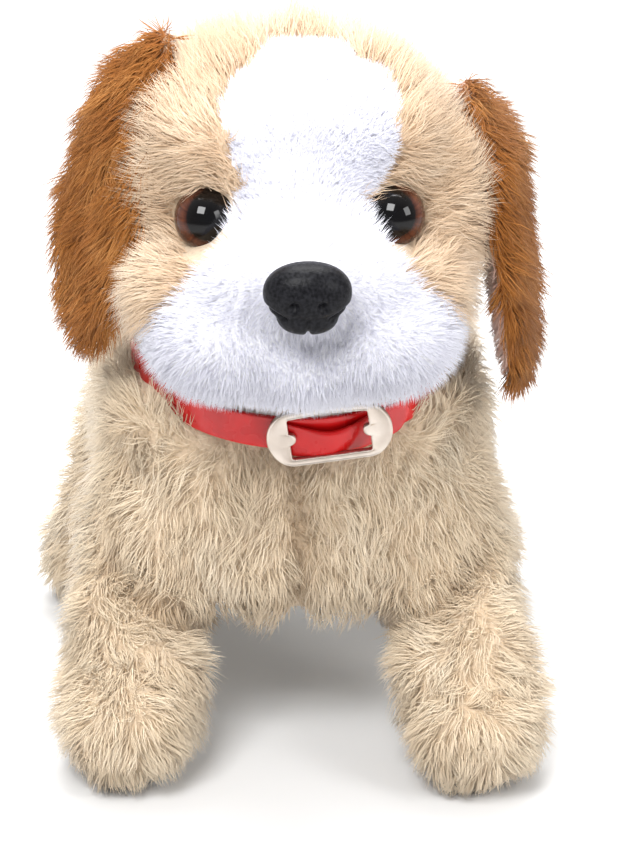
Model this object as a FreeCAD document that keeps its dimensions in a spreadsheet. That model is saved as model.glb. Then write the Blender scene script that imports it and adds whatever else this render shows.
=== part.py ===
import FreeCAD, Part
import Sketcher
import math
import os

# Battery-driven plush puppy that walks, nods, wags its tail and barks.
#
# Frame: +Z up, the puppy faces -Y, its own left side is +X, and the origin is
# on the floor under the middle of its length and width. Millimetres.
#
# A plastic mechanism case sits in the trunk. A motor and three gear stages
# turn a cross axle with a crank on each end. The cranks swing four leg arms,
# which carry stuffed legs. A plastic skull nods on a neck pin. Plush forms are
# plain solids that hold the place of the stuffed fabric.

Vector = FreeCAD.Vector
Rotation = FreeCAD.Rotation

doc = FreeCAD.newDocument("plush_puppy")
sheet = doc.addObject("Spreadsheet::Sheet", "sizes")

# Alias, value, what it is. Lengths in millimetres, angles in degrees.
SHEET_ROWS = [
    ("half_span", 86.0, "nose tip and tail tip, each from the middle"),
    ("fit_gap", 0.3, "gap between neighbouring parts that don't slide"),
    ("running_gap", 0.05, "radial clearance of a pin that turns in a hole"),
    ("case_half_width", 27.0, "mechanism case, from the split plane outwards"),
    ("case_length", 82.0, "case, front to back"),
    ("case_height", 46.0, "case, bottom to top"),
    ("case_middle", 5.0, "y of the case's middle"),
    ("case_bottom", 36.0, "z of the case's underside"),
    ("case_wall", 1.8, "case wall thickness"),
    ("case_corner", 3.5, "radius of the case's long corners"),
    ("mech_height", 68.0, "z of motor, gears and crank axle"),
    ("motor_spot", -22.0, "y of the motor's axis"),
    ("tooth_size", 0.5, "gear module"),
    ("small_teeth", 10.0, "teeth of each pinion"),
    ("large_teeth", 30.0, "teeth of each compound gear's wheel"),
    ("crank_teeth", 34.0, "teeth of the crank axle's wheel"),
    ("gear_face", 2.5, "width of a toothed wheel"),
    ("crank_throw", 5.0, "crank pin, from the axle"),
    ("crank_axle_radius", 1.5, "crank axle"),
    ("hip_height", 50.0, "z of all four hip pins"),
    ("front_hip", -24.0, "y of the front hip pins"),
    ("rear_hip", 36.0, "y of the rear hip pins"),
    ("hip_pin_radius", 3.0, "hip pins moulded on the case"),
    ("arm_thick", 2.0, "drive lever of a leg arm"),
    ("crank_disc_thick", 2.0, "crank disc"),
    ("crank_pin_reach", 1.9, "crank pin, from its disc"),
    ("limb_half_width", 5.0, "half width of a leg arm's lower limb"),
    ("lever_half_width", 3.6, "half width of a leg arm's drive lever"),
    ("cell_radius", 7.25, "AA cell"),
    ("cell_length", 49.5, "AA cell without its button"),
    ("door_length", 66.4, "battery door, front to back"),
    ("door_middle", 2.0, "y of the battery door's middle"),
    ("bay_middle", -1.5, "y of the battery bay's middle"),
    ("door_width", 30.0, "battery door, side to side"),
    ("neck_spot", -20.0, "y of the neck pin"),
    ("neck_height", 92.0, "z of the neck pin"),
    ("neck_pin_radius", 1.5, "neck pin"),
    ("head_spot", -27.0, "y of the head's middle"),
    ("head_height", 124.0, "z of the head's middle"),
    ("head_half_width", 37.5, "stuffed head, side to side"),
    ("head_half_depth", 34.0, "stuffed head, front to back"),
    ("head_half_height", 33.0, "stuffed head, bottom to top"),
    ("skull_half_width", 28.0, "plastic skull, side to side"),
    ("skull_half_depth", 26.0, "plastic skull, front to back"),
    ("skull_half_height", 24.0, "plastic skull, bottom to top"),
    ("skull_wall", 1.6, "skull wall thickness"),
    ("muzzle_half_width", 33.0, "muzzle mound at the jowls"),
    ("muzzle_spot", -60.0, "y of the muzzle's middle"),
    ("muzzle_height", 106.0, "z of the muzzle's middle"),
    ("nose_width", 17.4, "nose, side to side"),
    ("nose_height", 118.5, "z of the nose's middle"),
    ("eye_radius", 6.2, "eye dome"),
    ("eye_spread", 19.0, "x of each eye's middle"),
    ("eye_spot", -52.5, "y of the plane at the back of the eye domes"),
    ("eye_height", 125.5, "z of the eyes' middle"),
    ("ear_half_thick", 2.8, "hanging ear flap"),
    ("ear_half_depth", 17.0, "ear flap, front to back"),
    ("ear_half_length", 35.0, "ear flap, root to tip"),
    ("ear_spot", -23.0, "y of the ears' middle"),
    ("trunk_half_width", 46.0, "stuffed trunk, side to side"),
    ("trunk_front", -50.0, "y of the stuffed chest"),
    ("trunk_rear", 62.0, "y of the stuffed rump"),
    ("trunk_bottom", 30.5, "z of the stuffed belly"),
    ("trunk_top", 92.0, "z of the stuffed back"),
    ("trunk_round", 22.0, "rounding of the trunk's edges"),
    ("leg_top", 40.0, "z where the stuffed legs end under the trunk"),
    ("paw_half_width", 16.5, "stuffed leg at the paw, side to side"),
    ("paw_half_length", 20.5, "stuffed leg at the paw, front to back"),
    ("front_paw_spread", 35.5, "x of the front paws' middle"),
    ("rear_paw_spread", 40.5, "x of the rear paws' middle"),
    ("front_paw_spot", -50.0, "y of the front paws' middle"),
    ("rear_paw_spot", 40.0, "y of the rear paws' middle"),
    ("collar_half_width", 33.0, "collar loop, side to side"),
    ("collar_half_length", 34.0, "collar loop, front to back"),
    ("collar_spot", -19.0, "y of the collar loop's middle"),
    ("collar_height", 88.0, "z of the collar loop's middle"),
    ("collar_band", 8.0, "strap width"),
    ("collar_thick", 1.4, "strap thickness"),
    ("collar_tilt", 15.0, "angle by which the collar dips at the front"),
    ("buckle_width", 26.0, "buckle plate, side to side"),
    ("buckle_height", 13.5, "buckle plate, bottom to top"),
    ("tail_pin_spot", 54.0, "y of the tail's upright pin"),
    ("tail_height", 70.0, "z of the tail lever"),
    ("tail_tip_radius", 8.0, "rounded end of the stuffed tail"),
]


class Size:
    """A length or angle that carries both its number and its sheet expression."""

    def __init__(self, number, text):
        self.number = float(number)
        self.text = text

    @staticmethod
    def of(value):
        if isinstance(value, Size):
            return value
        return Size(value, repr(float(value)))

    def __add__(self, other):
        other = Size.of(other)
        return Size(self.number + other.number, f"({self.text} + {other.text})")

    def __sub__(self, other):
        other = Size.of(other)
        return Size(self.number - other.number, f"({self.text} - {other.text})")

    def __mul__(self, other):
        other = Size.of(other)
        return Size(self.number * other.number, f"({self.text} * {other.text})")

    def __truediv__(self, other):
        other = Size.of(other)
        return Size(self.number / other.number, f"({self.text} / {other.text})")

    def __radd__(self, other):
        return Size.of(other) + self

    def __rsub__(self, other):
        return Size.of(other) - self

    def __rmul__(self, other):
        return Size.of(other) * self

    def __neg__(self):
        return Size(-self.number, f"(0 - {self.text})")


def fill_sheet():
    """Writes the driving dimensions and returns them by name."""
    named = {}
    for row, (alias, value, note) in enumerate(SHEET_ROWS, start=1):
        sheet.set(f"A{row}", note)
        sheet.set(f"B{row}", str(value))
        sheet.setAlias(f"B{row}", alias)
        named[alias] = Size(value, f"sizes.{alias}")
    doc.recompute()
    return named


d = fill_sheet()
GAP = d["fit_gap"]
RUN = d["running_gap"]

# Turns a piece drawn flat so that its own x, y, z lie along Y, Z, X.
ON_SIDE = Rotation(Vector(1, 1, 1), 120)
# Turns a piece drawn flat so that its own z faces forwards, along -Y.
FACING_FRONT = Rotation(Vector(1, 0, 0), 90)
# Turns a piece drawn along z so that it lies along X or along Y.
ALONG_X = Rotation(Vector(0, 1, 0), 90)
ALONG_Y = Rotation(Vector(1, 0, 0), -90)
UPRIGHT = Rotation()

SIDES = (("right", -1), ("left", 1))
subparts = []


# ---------------------------------------------------------------- helpers

def bind(item, prop, size):
    """Binds one property of an object to the sheet."""
    item.setExpression(prop, Size.of(size).text)


def place(item, x=0, y=0, z=0, turn=UPRIGHT):
    """Gives an object its turn, and its position from the sheet."""
    item.Placement = FreeCAD.Placement(Vector(), turn)
    for letter, size in zip("xyz", (x, y, z)):
        bind(item, f"Placement.Base.{letter}", size)
    return item


def finished(item, label):
    """Marks an object as a sub-part under the name of its file."""
    item.Label = label
    subparts.append(item)
    return item


def box(name, length, width, height, x, y, z, turn=UPRIGHT):
    """A box whose position is its lowest corner."""
    item = doc.addObject("Part::Box", name)
    bind(item, "Length", length)
    bind(item, "Width", width)
    bind(item, "Height", height)
    return place(item, x, y, z, turn)


def centred_box(name, length, width, height, x, y, z):
    """A box whose position is the middle of its underside."""
    return box(name, length, width, height, x - length / 2, y - width / 2, z)


def cylinder(name, radius, height, x, y, z, turn=UPRIGHT):
    """A cylinder that starts at its position and runs along its turned z."""
    item = doc.addObject("Part::Cylinder", name)
    bind(item, "Radius", radius)
    bind(item, "Height", height)
    return place(item, x, y, z, turn)


def ellipsoid(name, half_x, half_y, half_z, x, y, z, turn=UPRIGHT):
    item = doc.addObject("Part::Ellipsoid", name)
    bind(item, "Radius2", half_x)
    bind(item, "Radius3", half_y)
    bind(item, "Radius1", half_z)
    return place(item, x, y, z, turn)


def fuse(name, items):
    item = doc.addObject("Part::MultiFuse", name)
    item.Shapes = items
    return item


def cut(name, base, tool):
    item = doc.addObject("Part::Cut", name)
    item.Base = base
    item.Tool = tool
    return item


def common(name, base, tool):
    item = doc.addObject("Part::Common", name)
    item.Base = base
    item.Tool = tool
    return item


def group(name, items):
    """Several separate solids that share one node."""
    item = doc.addObject("Part::Compound", name)
    item.Links = items
    return item


def new_body(name, x=0, y=0, z=0, turn=UPRIGHT):
    return place(doc.addObject("PartDesign::Body", name), x, y, z, turn)


def new_sketch(body, x=0, y=0, z=0, turn_deg=0, plane="XY_Plane"):
    """A sketch on one of the body's own planes, shifted and turned in it."""
    sketch = body.newObject("Sketcher::SketchObject", body.Name + "_sketch")
    support = [item for item in body.Origin.OriginFeatures if item.Role == plane]
    sketch.AttachmentSupport = [(support[0], "")]
    sketch.MapMode = "FlatFace"
    turn = Rotation(Vector(0, 0, 1), Size.of(turn_deg).number)
    sketch.AttachmentOffset = FreeCAD.Placement(Vector(), turn)
    for letter, size in zip("xyz", (x, y, z)):
        bind(sketch, f"AttachmentOffset.Base.{letter}", size)
    return sketch


def constrain(sketch, size, kind, *where):
    """Adds one dimension to a sketch and binds it to the sheet."""
    size = Size.of(size)
    index = sketch.addConstraint(Sketcher.Constraint(kind, *where, size.number))
    bind(sketch, f"Constraints[{index}]", size)


def circle_in(sketch, radius):
    """A circle about the sketch's origin."""
    number = Size.of(radius).number
    edge = sketch.addGeometry(Part.Circle(Vector(), Vector(0, 0, 1), number))
    sketch.addConstraint(Sketcher.Constraint("Coincident", edge, 3, -1, 1))
    constrain(sketch, radius, "Radius", edge)


def chain_in(sketch, edges):
    """Adds edges that each start where the one before ends, as a closed loop."""
    first = len(sketch.Geometry)
    count = len(edges)
    for edge in edges:
        sketch.addGeometry(edge)
    for step in range(count):
        following = first + (step + 1) % count
        sketch.addConstraint(Sketcher.Constraint("Coincident", first + step, 2, following, 1))
    return first


def rectangle_in(sketch, width, height):
    """A rectangle centred on the sketch's origin."""
    half_w = Size.of(width).number / 2
    half_h = Size.of(height).number / 2
    corners = [Vector(-half_w, -half_h, 0), Vector(half_w, -half_h, 0),
               Vector(half_w, half_h, 0), Vector(-half_w, half_h, 0)]
    edges = [Part.LineSegment(corners[step], corners[(step + 1) % 4]) for step in range(4)]
    first = chain_in(sketch, edges)
    for step, kind in enumerate(("Horizontal", "Vertical", "Horizontal", "Vertical")):
        sketch.addConstraint(Sketcher.Constraint(kind, first + step))
    sketch.addConstraint(Sketcher.Constraint("Symmetric", first, 1, first + 2, 1, -1, 1))
    constrain(sketch, width, "DistanceX", first, 1, first, 2)
    constrain(sketch, height, "DistanceY", first + 1, 1, first + 1, 2)


def stadium_in(sketch, length, radius):
    """Two half circles joined by straight sides, from the origin along +x."""
    reach = Size.of(length).number
    r = Size.of(radius).number
    up = Vector(0, 0, 1)
    near = Part.ArcOfCircle(Part.Circle(Vector(), up, r), math.pi / 2, 3 * math.pi / 2)
    far = Part.ArcOfCircle(Part.Circle(Vector(reach, 0, 0), up, r), -math.pi / 2, math.pi / 2)
    low = Part.LineSegment(Vector(0, -r, 0), Vector(reach, -r, 0))
    high = Part.LineSegment(Vector(reach, r, 0), Vector(0, r, 0))
    first = len(sketch.Geometry)
    for edge in (near, low, far, high):
        sketch.addGeometry(edge)
    for one, end, other, start in ((0, 2, 1, 1), (1, 2, 2, 1), (2, 2, 3, 1), (3, 2, 0, 1)):
        sketch.addConstraint(Sketcher.Constraint("Tangent", first + one, end, first + other, start))
    sketch.addConstraint(Sketcher.Constraint("Coincident", first, 3, -1, 1))
    sketch.addConstraint(Sketcher.Constraint("PointOnObject", first + 2, 3, -1))
    constrain(sketch, radius, "Radius", first)
    constrain(sketch, length, "DistanceX", -1, 1, first + 2, 3)


def pad(body, sketch, length):
    feature = body.newObject("PartDesign::Pad", body.Name + "_pad")
    feature.Profile = sketch
    bind(feature, "Length", length)
    body.Tip = feature
    return feature


def pocket(body, sketch, depth, forwards=False):
    """Cuts against the sketch's normal, or along it when forwards is set."""
    feature = body.newObject("PartDesign::Pocket", body.Name + "_pocket")
    feature.Profile = sketch
    feature.Reversed = forwards
    bind(feature, "Length", depth)
    body.Tip = feature
    return feature


def edges_along(shape, direction):
    """Names of the straight edges of a shape that run along a direction."""
    names = []
    for number, edge in enumerate(shape.Edges, start=1):
        if isinstance(edge.Curve, Part.Line) and abs(edge.Curve.Direction.dot(direction)) > 0.999:
            names.append(f"Edge{number}")
    return names


def fillet(body, base, radius, edge_names):
    feature = body.newObject("PartDesign::Fillet", body.Name + "_fillet")
    feature.Base = (base, edge_names)
    bind(feature, "Radius", radius)
    body.Tip = feature
    return feature


# ---------------------------------------------------------------- mechanism case

# Planes along X, on the left side; the right side mirrors them.
CASE_SIDE = d["case_half_width"]
HUB_INNER = CASE_SIDE + GAP
PIN_END = HUB_INNER + d["crank_disc_thick"] + d["crank_pin_reach"]
FRONT_LEVER = PIN_END + GAP
REAR_LEVER = FRONT_LEVER + d["arm_thick"] + GAP
HUB_OUTER = REAR_LEVER + d["arm_thick"]

CASE_MIDDLE_Z = d["case_bottom"] + d["case_height"] / 2
CASE_TOP = d["case_bottom"] + d["case_height"]
CASE_REAR = d["case_middle"] + d["case_length"] / 2
MECH = d["mech_height"]

# Gear centres, in a row along Y behind the motor.
SMALL_STEP = d["tooth_size"] * (d["small_teeth"] + d["large_teeth"]) / 2
LAST_STEP = d["tooth_size"] * (d["small_teeth"] + d["crank_teeth"]) / 2
FIRST_SPOT = d["motor_spot"] + SMALL_STEP
SECOND_SPOT = FIRST_SPOT + SMALL_STEP
CRANK_SPOT = SECOND_SPOT + LAST_STEP

POST_SPOTS = ((-31, 58), (-31, 78), (41, 50), (41, 78))
POST_RADIUS = 3.4
SCREW_RADIUS = 0.95
SCREW_HEAD_RADIUS = 2.4
SCREW_HEAD_HEIGHT = 1.4
SPEAKER_SPOT = 29
SPEAKER_RADIUS = 9.5

# The battery door hangs on a barrel as thick as the door, along its front edge.
BARREL_RADIUS = d["case_wall"] / 2
HINGE_SPOT = d["door_middle"] - d["door_length"] / 2 + BARREL_RADIUS
HINGE_HEIGHT = d["case_bottom"] + BARREL_RADIUS
HINGE_PIN_RADIUS = 0.6
HINGE_PIN_END = d["door_width"] / 2 + 1.4


def along_x(name, radius, low_x, high_x, y, z):
    """A cylinder parallel to X between two planes."""
    return cylinder(name, radius, high_x - low_x, low_x, y, z, ALONG_X)


def mirrored_span(sign, near, far):
    """Lowest and highest x of a stretch given on the left side."""
    return (near, far) if sign > 0 else (-far, -near)


def case_block(side, sign):
    """A rounded block hollowed from the split plane, with its two hip pins."""
    width = d["case_half_width"]
    wall = d["case_wall"]
    body = new_body("case_block_" + side, 0 if sign > 0 else -width,
                    d["case_middle"], CASE_MIDDLE_Z, ON_SIDE)
    outline = new_sketch(body)
    rectangle_in(outline, d["case_length"], d["case_height"])
    block = pad(body, outline, width)
    doc.recompute()
    long_edges = edges_along(block.Shape, Vector(0, 0, 1))
    rounded = fillet(body, block, d["case_corner"], long_edges)
    doc.recompute()

    hollow = new_sketch(body, z=0 if sign > 0 else width)
    rectangle_in(hollow, d["case_length"] - wall * 2, d["case_height"] - wall * 2)
    solid_volume = rounded.Shape.Volume
    hollowed = pocket(body, hollow, width - wall, forwards=sign > 0)
    doc.recompute()
    if hollowed.Shape.Volume > solid_volume / 2:
        raise RuntimeError("the case half wasn't hollowed")

    reach = HUB_OUTER + GAP - width + wall
    for hip in ("front_hip", "rear_hip"):
        start = width - wall if sign > 0 else wall - reach
        pin = new_sketch(body, d[hip] - d["case_middle"], d["hip_height"] - CASE_MIDDLE_Z, start)
        circle_in(pin, d["hip_pin_radius"])
        pad(body, pin, reach)
    return body


def case_openings(side, sign):
    """What is cut out of a case half."""
    wall = d["case_wall"]
    low_x, high_x = mirrored_span(sign, d["case_half_width"] - 1, HUB_OUTER + 2)
    tools = [
        centred_box("door_way_" + side, d["door_width"] + GAP * 2, d["door_length"] + GAP * 2,
                    wall * 2, 0, d["door_middle"], d["case_bottom"] - wall / 2),
        along_x("hinge_way_" + side, HINGE_PIN_RADIUS + RUN, -HINGE_PIN_END - GAP,
                HINGE_PIN_END + GAP, HINGE_SPOT, HINGE_HEIGHT),
        centred_box("switch_way_" + side, 9, 3.4, wall * 2, 1.5, 41, d["case_bottom"] - wall / 2),
        along_x("axle_way_" + side, d["crank_axle_radius"] + RUN, -CASE_SIDE - 1, CASE_SIDE + 1,
                CRANK_SPOT, MECH),
        centred_box("neck_way_" + side, 10 + GAP * 2, 12 + GAP * 2, wall * 2, 0, d["neck_spot"],
                    CASE_TOP - wall * 1.5),
        centred_box("tail_way_" + side, 10 + GAP * 2, wall * 2, 12 + GAP * 2, 0,
                    CASE_REAR - wall / 2, d["tail_height"] - 6 - GAP),
    ]
    for hip in ("front_hip", "rear_hip"):
        tools.append(along_x(hip + "_thread_" + side, SCREW_RADIUS, low_x, high_x,
                             d[hip], d["hip_height"]))
    for number, (y, z) in enumerate(POST_SPOTS):
        if sign > 0:
            tools.append(along_x("post_thread", SCREW_RADIUS, -1, 12, y, z))
        else:
            tools.append(along_x("post_bore", SCREW_RADIUS + GAP, -CASE_SIDE - 1, 1, y, z))
            tools.append(along_x("post_recess", SCREW_HEAD_RADIUS + GAP, -CASE_SIDE - 1,
                                 -CASE_SIDE + SCREW_HEAD_HEIGHT + GAP, y, z))
    if sign < 0:
        tools += speaker_grille()
    return tools


def speaker_grille():
    """Rings of holes through the right wall, in front of the speaker."""
    holes = []
    for ring, count in ((0, 1), (3.2, 6), (6.4, 12)):
        for step in range(count):
            angle = 2 * math.pi * step / count
            holes.append(along_x("grille_hole", 0.8, -CASE_SIDE - 1, -CASE_SIDE + 3,
                                 SPEAKER_SPOT + ring * math.cos(angle),
                                 MECH + ring * math.sin(angle)))
    return holes


def case():
    """Both case halves and the four screws that join them."""
    for side, sign in SIDES:
        low_x, high_x = mirrored_span(sign, 0, d["case_half_width"] - 1)
        posts = [along_x("case_post", POST_RADIUS, low_x, high_x, y, z) for y, z in POST_SPOTS]
        shell = fuse("case_shell_" + side, [case_block(side, sign)] + posts)
        tools = fuse("case_tools_" + side, case_openings(side, sign))
        finished(cut("case_cut_" + side, shell, tools), "case_" + side)
    screws = []
    for y, z in POST_SPOTS:
        head_end = -CASE_SIDE + SCREW_HEAD_HEIGHT
        head = along_x("case_screw_head", SCREW_HEAD_RADIUS, -CASE_SIDE, head_end, y, z)
        shank = along_x("case_screw_shank", SCREW_RADIUS, head_end - 0.5, 10, y, z)
        screws.append(fuse("case_screw", [head, shank]))
    finished(group("case_screw_set", screws), "case_screws")


# ---------------------------------------------------------------- batteries and switch

BAY_FLOOR = d["case_bottom"] + d["case_wall"]
BAY_INNER_LENGTH = d["cell_length"] + 7
BAY_WALL = 1.2
CELL_SIDE = d["cell_radius"] + 0.35
CELL_Z = BAY_FLOOR + GAP + d["cell_radius"]
BAY_FRONT = d["bay_middle"] - BAY_INNER_LENGTH / 2
BAY_REAR = d["bay_middle"] + BAY_INNER_LENGTH / 2
SPRING_LENGTH = 5
DOOR_SCREW_SPOT = d["door_middle"] + d["door_length"] / 2 - 3.6
PLATE_THICK = 0.4


def along_y(name, radius, low_y, high_y, x, z):
    """A cylinder parallel to Y between two planes."""
    return cylinder(name, radius, high_y - low_y, x, low_y, z, ALONG_Y)


def battery_box():
    """An upturned tray over the door, for two cells, with a block for the door's screw."""
    inner_width = CELL_SIDE * 4 + 0.6
    inner_height = d["cell_radius"] * 2 + GAP * 3
    outer = centred_box("bay_outer", inner_width + BAY_WALL * 2, BAY_INNER_LENGTH + BAY_WALL * 2,
                        inner_height + BAY_WALL, 0, d["bay_middle"], BAY_FLOOR + GAP / 2)
    inner = centred_box("bay_inner", inner_width, BAY_INNER_LENGTH, inner_height,
                        0, d["bay_middle"], BAY_FLOOR)
    nut = centred_box("bay_nut", 9, 8.6, 7, 0, DOOR_SCREW_SPOT, BAY_FLOOR + GAP / 2)
    thread = cylinder("bay_thread", SCREW_RADIUS, 6, 0, DOOR_SCREW_SPOT, BAY_FLOOR - 1)
    tools = fuse("bay_tools", [inner, thread])
    finished(cut("bay_cut", fuse("bay_mass", [outer, nut]), tools), "battery_box")


def battery_cells():
    """Two AA cells that point opposite ways."""
    cells = []
    for x, start, flip in ((CELL_SIDE, BAY_FRONT + PLATE_THICK + SPRING_LENGTH, 1),
                           (-CELL_SIDE, BAY_FRONT + PLATE_THICK + 1.1, -1)):
        can = along_y("cell_can", d["cell_radius"], start, start + d["cell_length"], x, CELL_Z)
        if flip > 0:
            button = along_y("cell_button", 2.7, start + d["cell_length"] - 0.5,
                             start + d["cell_length"] + 1, x, CELL_Z)
        else:
            button = along_y("cell_button", 2.7, start - 1, start + 0.5, x, CELL_Z)
        cells.append(fuse("cell", [can, button]))
    finished(group("cell_pair", cells), "battery_cells")


def battery_contacts():
    """Sheet metal plates at both ends of the bay and a coil spring on each."""
    plates = []
    for name, y in (("front", BAY_FRONT), ("rear", BAY_REAR - PLATE_THICK)):
        plates.append(centred_box("contact_plate_" + name, 26, PLATE_THICK, 11,
                                  0, y + PLATE_THICK / 2, CELL_Z - 5.5))
    finished(group("contact_plates", plates), "battery_contacts")

    springs = []
    for x, start in ((CELL_SIDE, BAY_FRONT + PLATE_THICK + 0.4),
                     (-CELL_SIDE, BAY_REAR - PLATE_THICK - SPRING_LENGTH + 0.5)):
        coil = doc.addObject("Part::Helix", "contact_coil")
        coil.Pitch = 1.0
        coil.Height = 4.0
        coil.Radius = 3.4
        section = doc.addObject("Part::Circle", "contact_wire")
        section.Radius = 0.3
        section.Placement = FreeCAD.Placement(Vector(3.4, 0, 0), Rotation(Vector(1, 0, 0), 90))
        sweep = doc.addObject("Part::Sweep", "contact_spring")
        sweep.Sections = [section]
        sweep.Spine = (coil, ["Edge1"])
        sweep.Solid = True
        sweep.Frenet = True
        springs.append(place(sweep, x, start, CELL_Z, ALONG_Y))
    finished(group("contact_spring_pair", springs), "battery_springs")


def battery_door():
    """The door with its grip grooves and hinge pins, and the screw at its rear edge."""
    length = d["door_length"] - BARREL_RADIUS
    middle = d["door_middle"] + BARREL_RADIUS / 2
    body = new_body("door_plate", 0, middle, d["case_bottom"])
    outline = new_sketch(body)
    rectangle_in(outline, d["door_width"], length)
    plate = pad(body, outline, d["case_wall"])
    doc.recompute()
    upright_edges = edges_along(plate.Shape, Vector(0, 0, 1))
    fillet(body, plate, 1.0, upright_edges)
    for step in range(5):
        groove = new_sketch(body, 0, length / 2 - 17 + step * 2, 0)
        rectangle_in(groove, 14, 0.8)
        pocket(body, groove, 0.6, forwards=True)
    hole = new_sketch(body, 0, DOOR_SCREW_SPOT - middle, 0)
    circle_in(hole, SCREW_RADIUS + GAP / 2)
    pocket(body, hole, d["case_wall"] * 2, forwards=True)
    half_width = d["door_width"] / 2
    barrel = along_x("door_barrel", BARREL_RADIUS, -half_width, half_width, HINGE_SPOT, HINGE_HEIGHT)
    pins = along_x("door_pins", HINGE_PIN_RADIUS, -HINGE_PIN_END, HINGE_PIN_END, HINGE_SPOT,
                   HINGE_HEIGHT)
    finished(fuse("door_all", [body, barrel, pins]), "battery_door")

    head = cylinder("door_screw_head", SCREW_HEAD_RADIUS, 1.0, 0, DOOR_SCREW_SPOT,
                    d["case_bottom"] - 1.0)
    shank = cylinder("door_screw_shank", SCREW_RADIUS, d["case_wall"] + 1.2, 0, DOOR_SCREW_SPOT,
                     d["case_bottom"] - 0.5)
    finished(fuse("door_screw_all", [head, shank]), "door_screw")


def power_switch():
    """A slide switch behind the door: its housing and its knob."""
    housing = centred_box("switch_block", 16, 5.6, 6, 1.5, 41, BAY_FLOOR + GAP)
    track = centred_box("switch_track", 9, 2.6, 4, 1.5, 41, BAY_FLOOR)
    finished(cut("switch_cut", housing, track), "switch_housing")
    stem = centred_box("switch_stem", 3.4, 2.2, 5.4, 0, 41, d["case_bottom"] - 1.4)
    finished(stem, "switch_knob")


# ---------------------------------------------------------------- motor and gears

MOTOR_PLATE = 6.5
PLATE_WIDE = 1.5
PLATE_FRONT = -27.3
PLATE_REAR = 20.2
PLATE_HALF = 9.2
PINION_START = 8.8
GEAR_STEP = 3.1


def toothed_ring(body, teeth, start, face, phase_teeth):
    """A toothed disc on a body's own z axis, its first tooth turned by part of a pitch."""
    pitch_deg = 360 / teeth.number
    pitch_radius = d["tooth_size"] * teeth / 2
    root_radius = pitch_radius - d["tooth_size"] * 1.25
    disc = new_sketch(body, z=start)
    circle_in(disc, root_radius)
    pad(body, disc, face)

    tooth = new_sketch(body, z=start, turn_deg=phase_teeth * pitch_deg)
    module = d["tooth_size"].number
    inner = root_radius.number - module * 0.4
    outer = pitch_radius.number + module * 0.9
    base_half = module * 0.95
    tip_half = module * 0.28
    corners = [Vector(inner, -base_half, 0), Vector(outer, -tip_half, 0),
               Vector(outer, tip_half, 0), Vector(inner, base_half, 0)]
    edges = [Part.LineSegment(corners[step], corners[(step + 1) % 4]) for step in range(4)]
    first = chain_in(tooth, edges)
    for corner, edge in ((0, first), (1, first + 1), (2, first + 2), (3, first + 3)):
        side = -1 if corner in (0, 1) else 1
        reach = root_radius - d["tooth_size"] * 0.4
        half = d["tooth_size"] * 0.95
        if corner in (1, 2):
            reach = pitch_radius + d["tooth_size"] * 0.9
            half = d["tooth_size"] * 0.28
        constrain(tooth, reach, "DistanceX", -1, 1, edge, 1)
        constrain(tooth, half * side, "DistanceY", -1, 1, edge, 1)
    one = pad(body, tooth, face)
    doc.recompute()
    around = body.newObject("PartDesign::PolarPattern", body.Name + "_teeth")
    around.Originals = [one]
    around.Axis = (tooth, ["N_Axis"])
    around.Angle = 360
    bind(around, "Occurrences", teeth)
    body.Tip = around
    doc.recompute()


def bored(body, radius, length, start=0):
    """Cuts a bore along a body's own z axis."""
    bore = new_sketch(body, z=start)
    circle_in(bore, radius)
    return pocket(body, bore, length, forwards=True)


def motor():
    """A flat-sided can motor, the plate it is fixed to, its shaft and its pinion."""
    spot = d["motor_spot"]
    can = along_x("motor_can", 10, -19, MOTOR_PLATE - 0.1, spot, MECH)
    flats = centred_box("motor_flats", 60, 30, 15.4, 0, spot, MECH - 7.7)
    nose = along_x("motor_nose", 3.1, MOTOR_PLATE - 0.5, MOTOR_PLATE + PLATE_WIDE, spot, MECH)
    tail = along_x("motor_tail", 4.0, -20.5, -18.5, spot, MECH)
    whole = fuse("motor_whole", [common("motor_flat_can", can, flats), nose, tail])
    way = along_x("motor_way", 1.0 + RUN, -22, MOTOR_PLATE + 4, spot, MECH)
    finished(cut("motor_cut", whole, way), "motor")
    finished(along_x("motor_axle", 1.0, -21, PINION_START + GEAR_STEP + 0.6, spot, MECH),
             "motor_shaft")
    pinion = new_body("pinion", PINION_START, spot, MECH, ON_SIDE)
    toothed_ring(pinion, d["small_teeth"], 0, GEAR_STEP, 0)
    bored(pinion, 1.0, GEAR_STEP + 1)
    finished(pinion, "motor_pinion")


def compound_gear(label, start, spot):
    """A large wheel and a small pinion in one moulding, on its own pin."""
    gear = new_body(label + "_body", start, spot, MECH, ON_SIDE)
    toothed_ring(gear, d["large_teeth"], 0, d["gear_face"], 0.5)
    toothed_ring(gear, d["small_teeth"], d["gear_face"], GEAR_STEP, 0)
    bored(gear, 1.0 + RUN, GEAR_STEP * 3)
    finished(gear, label)


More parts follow.
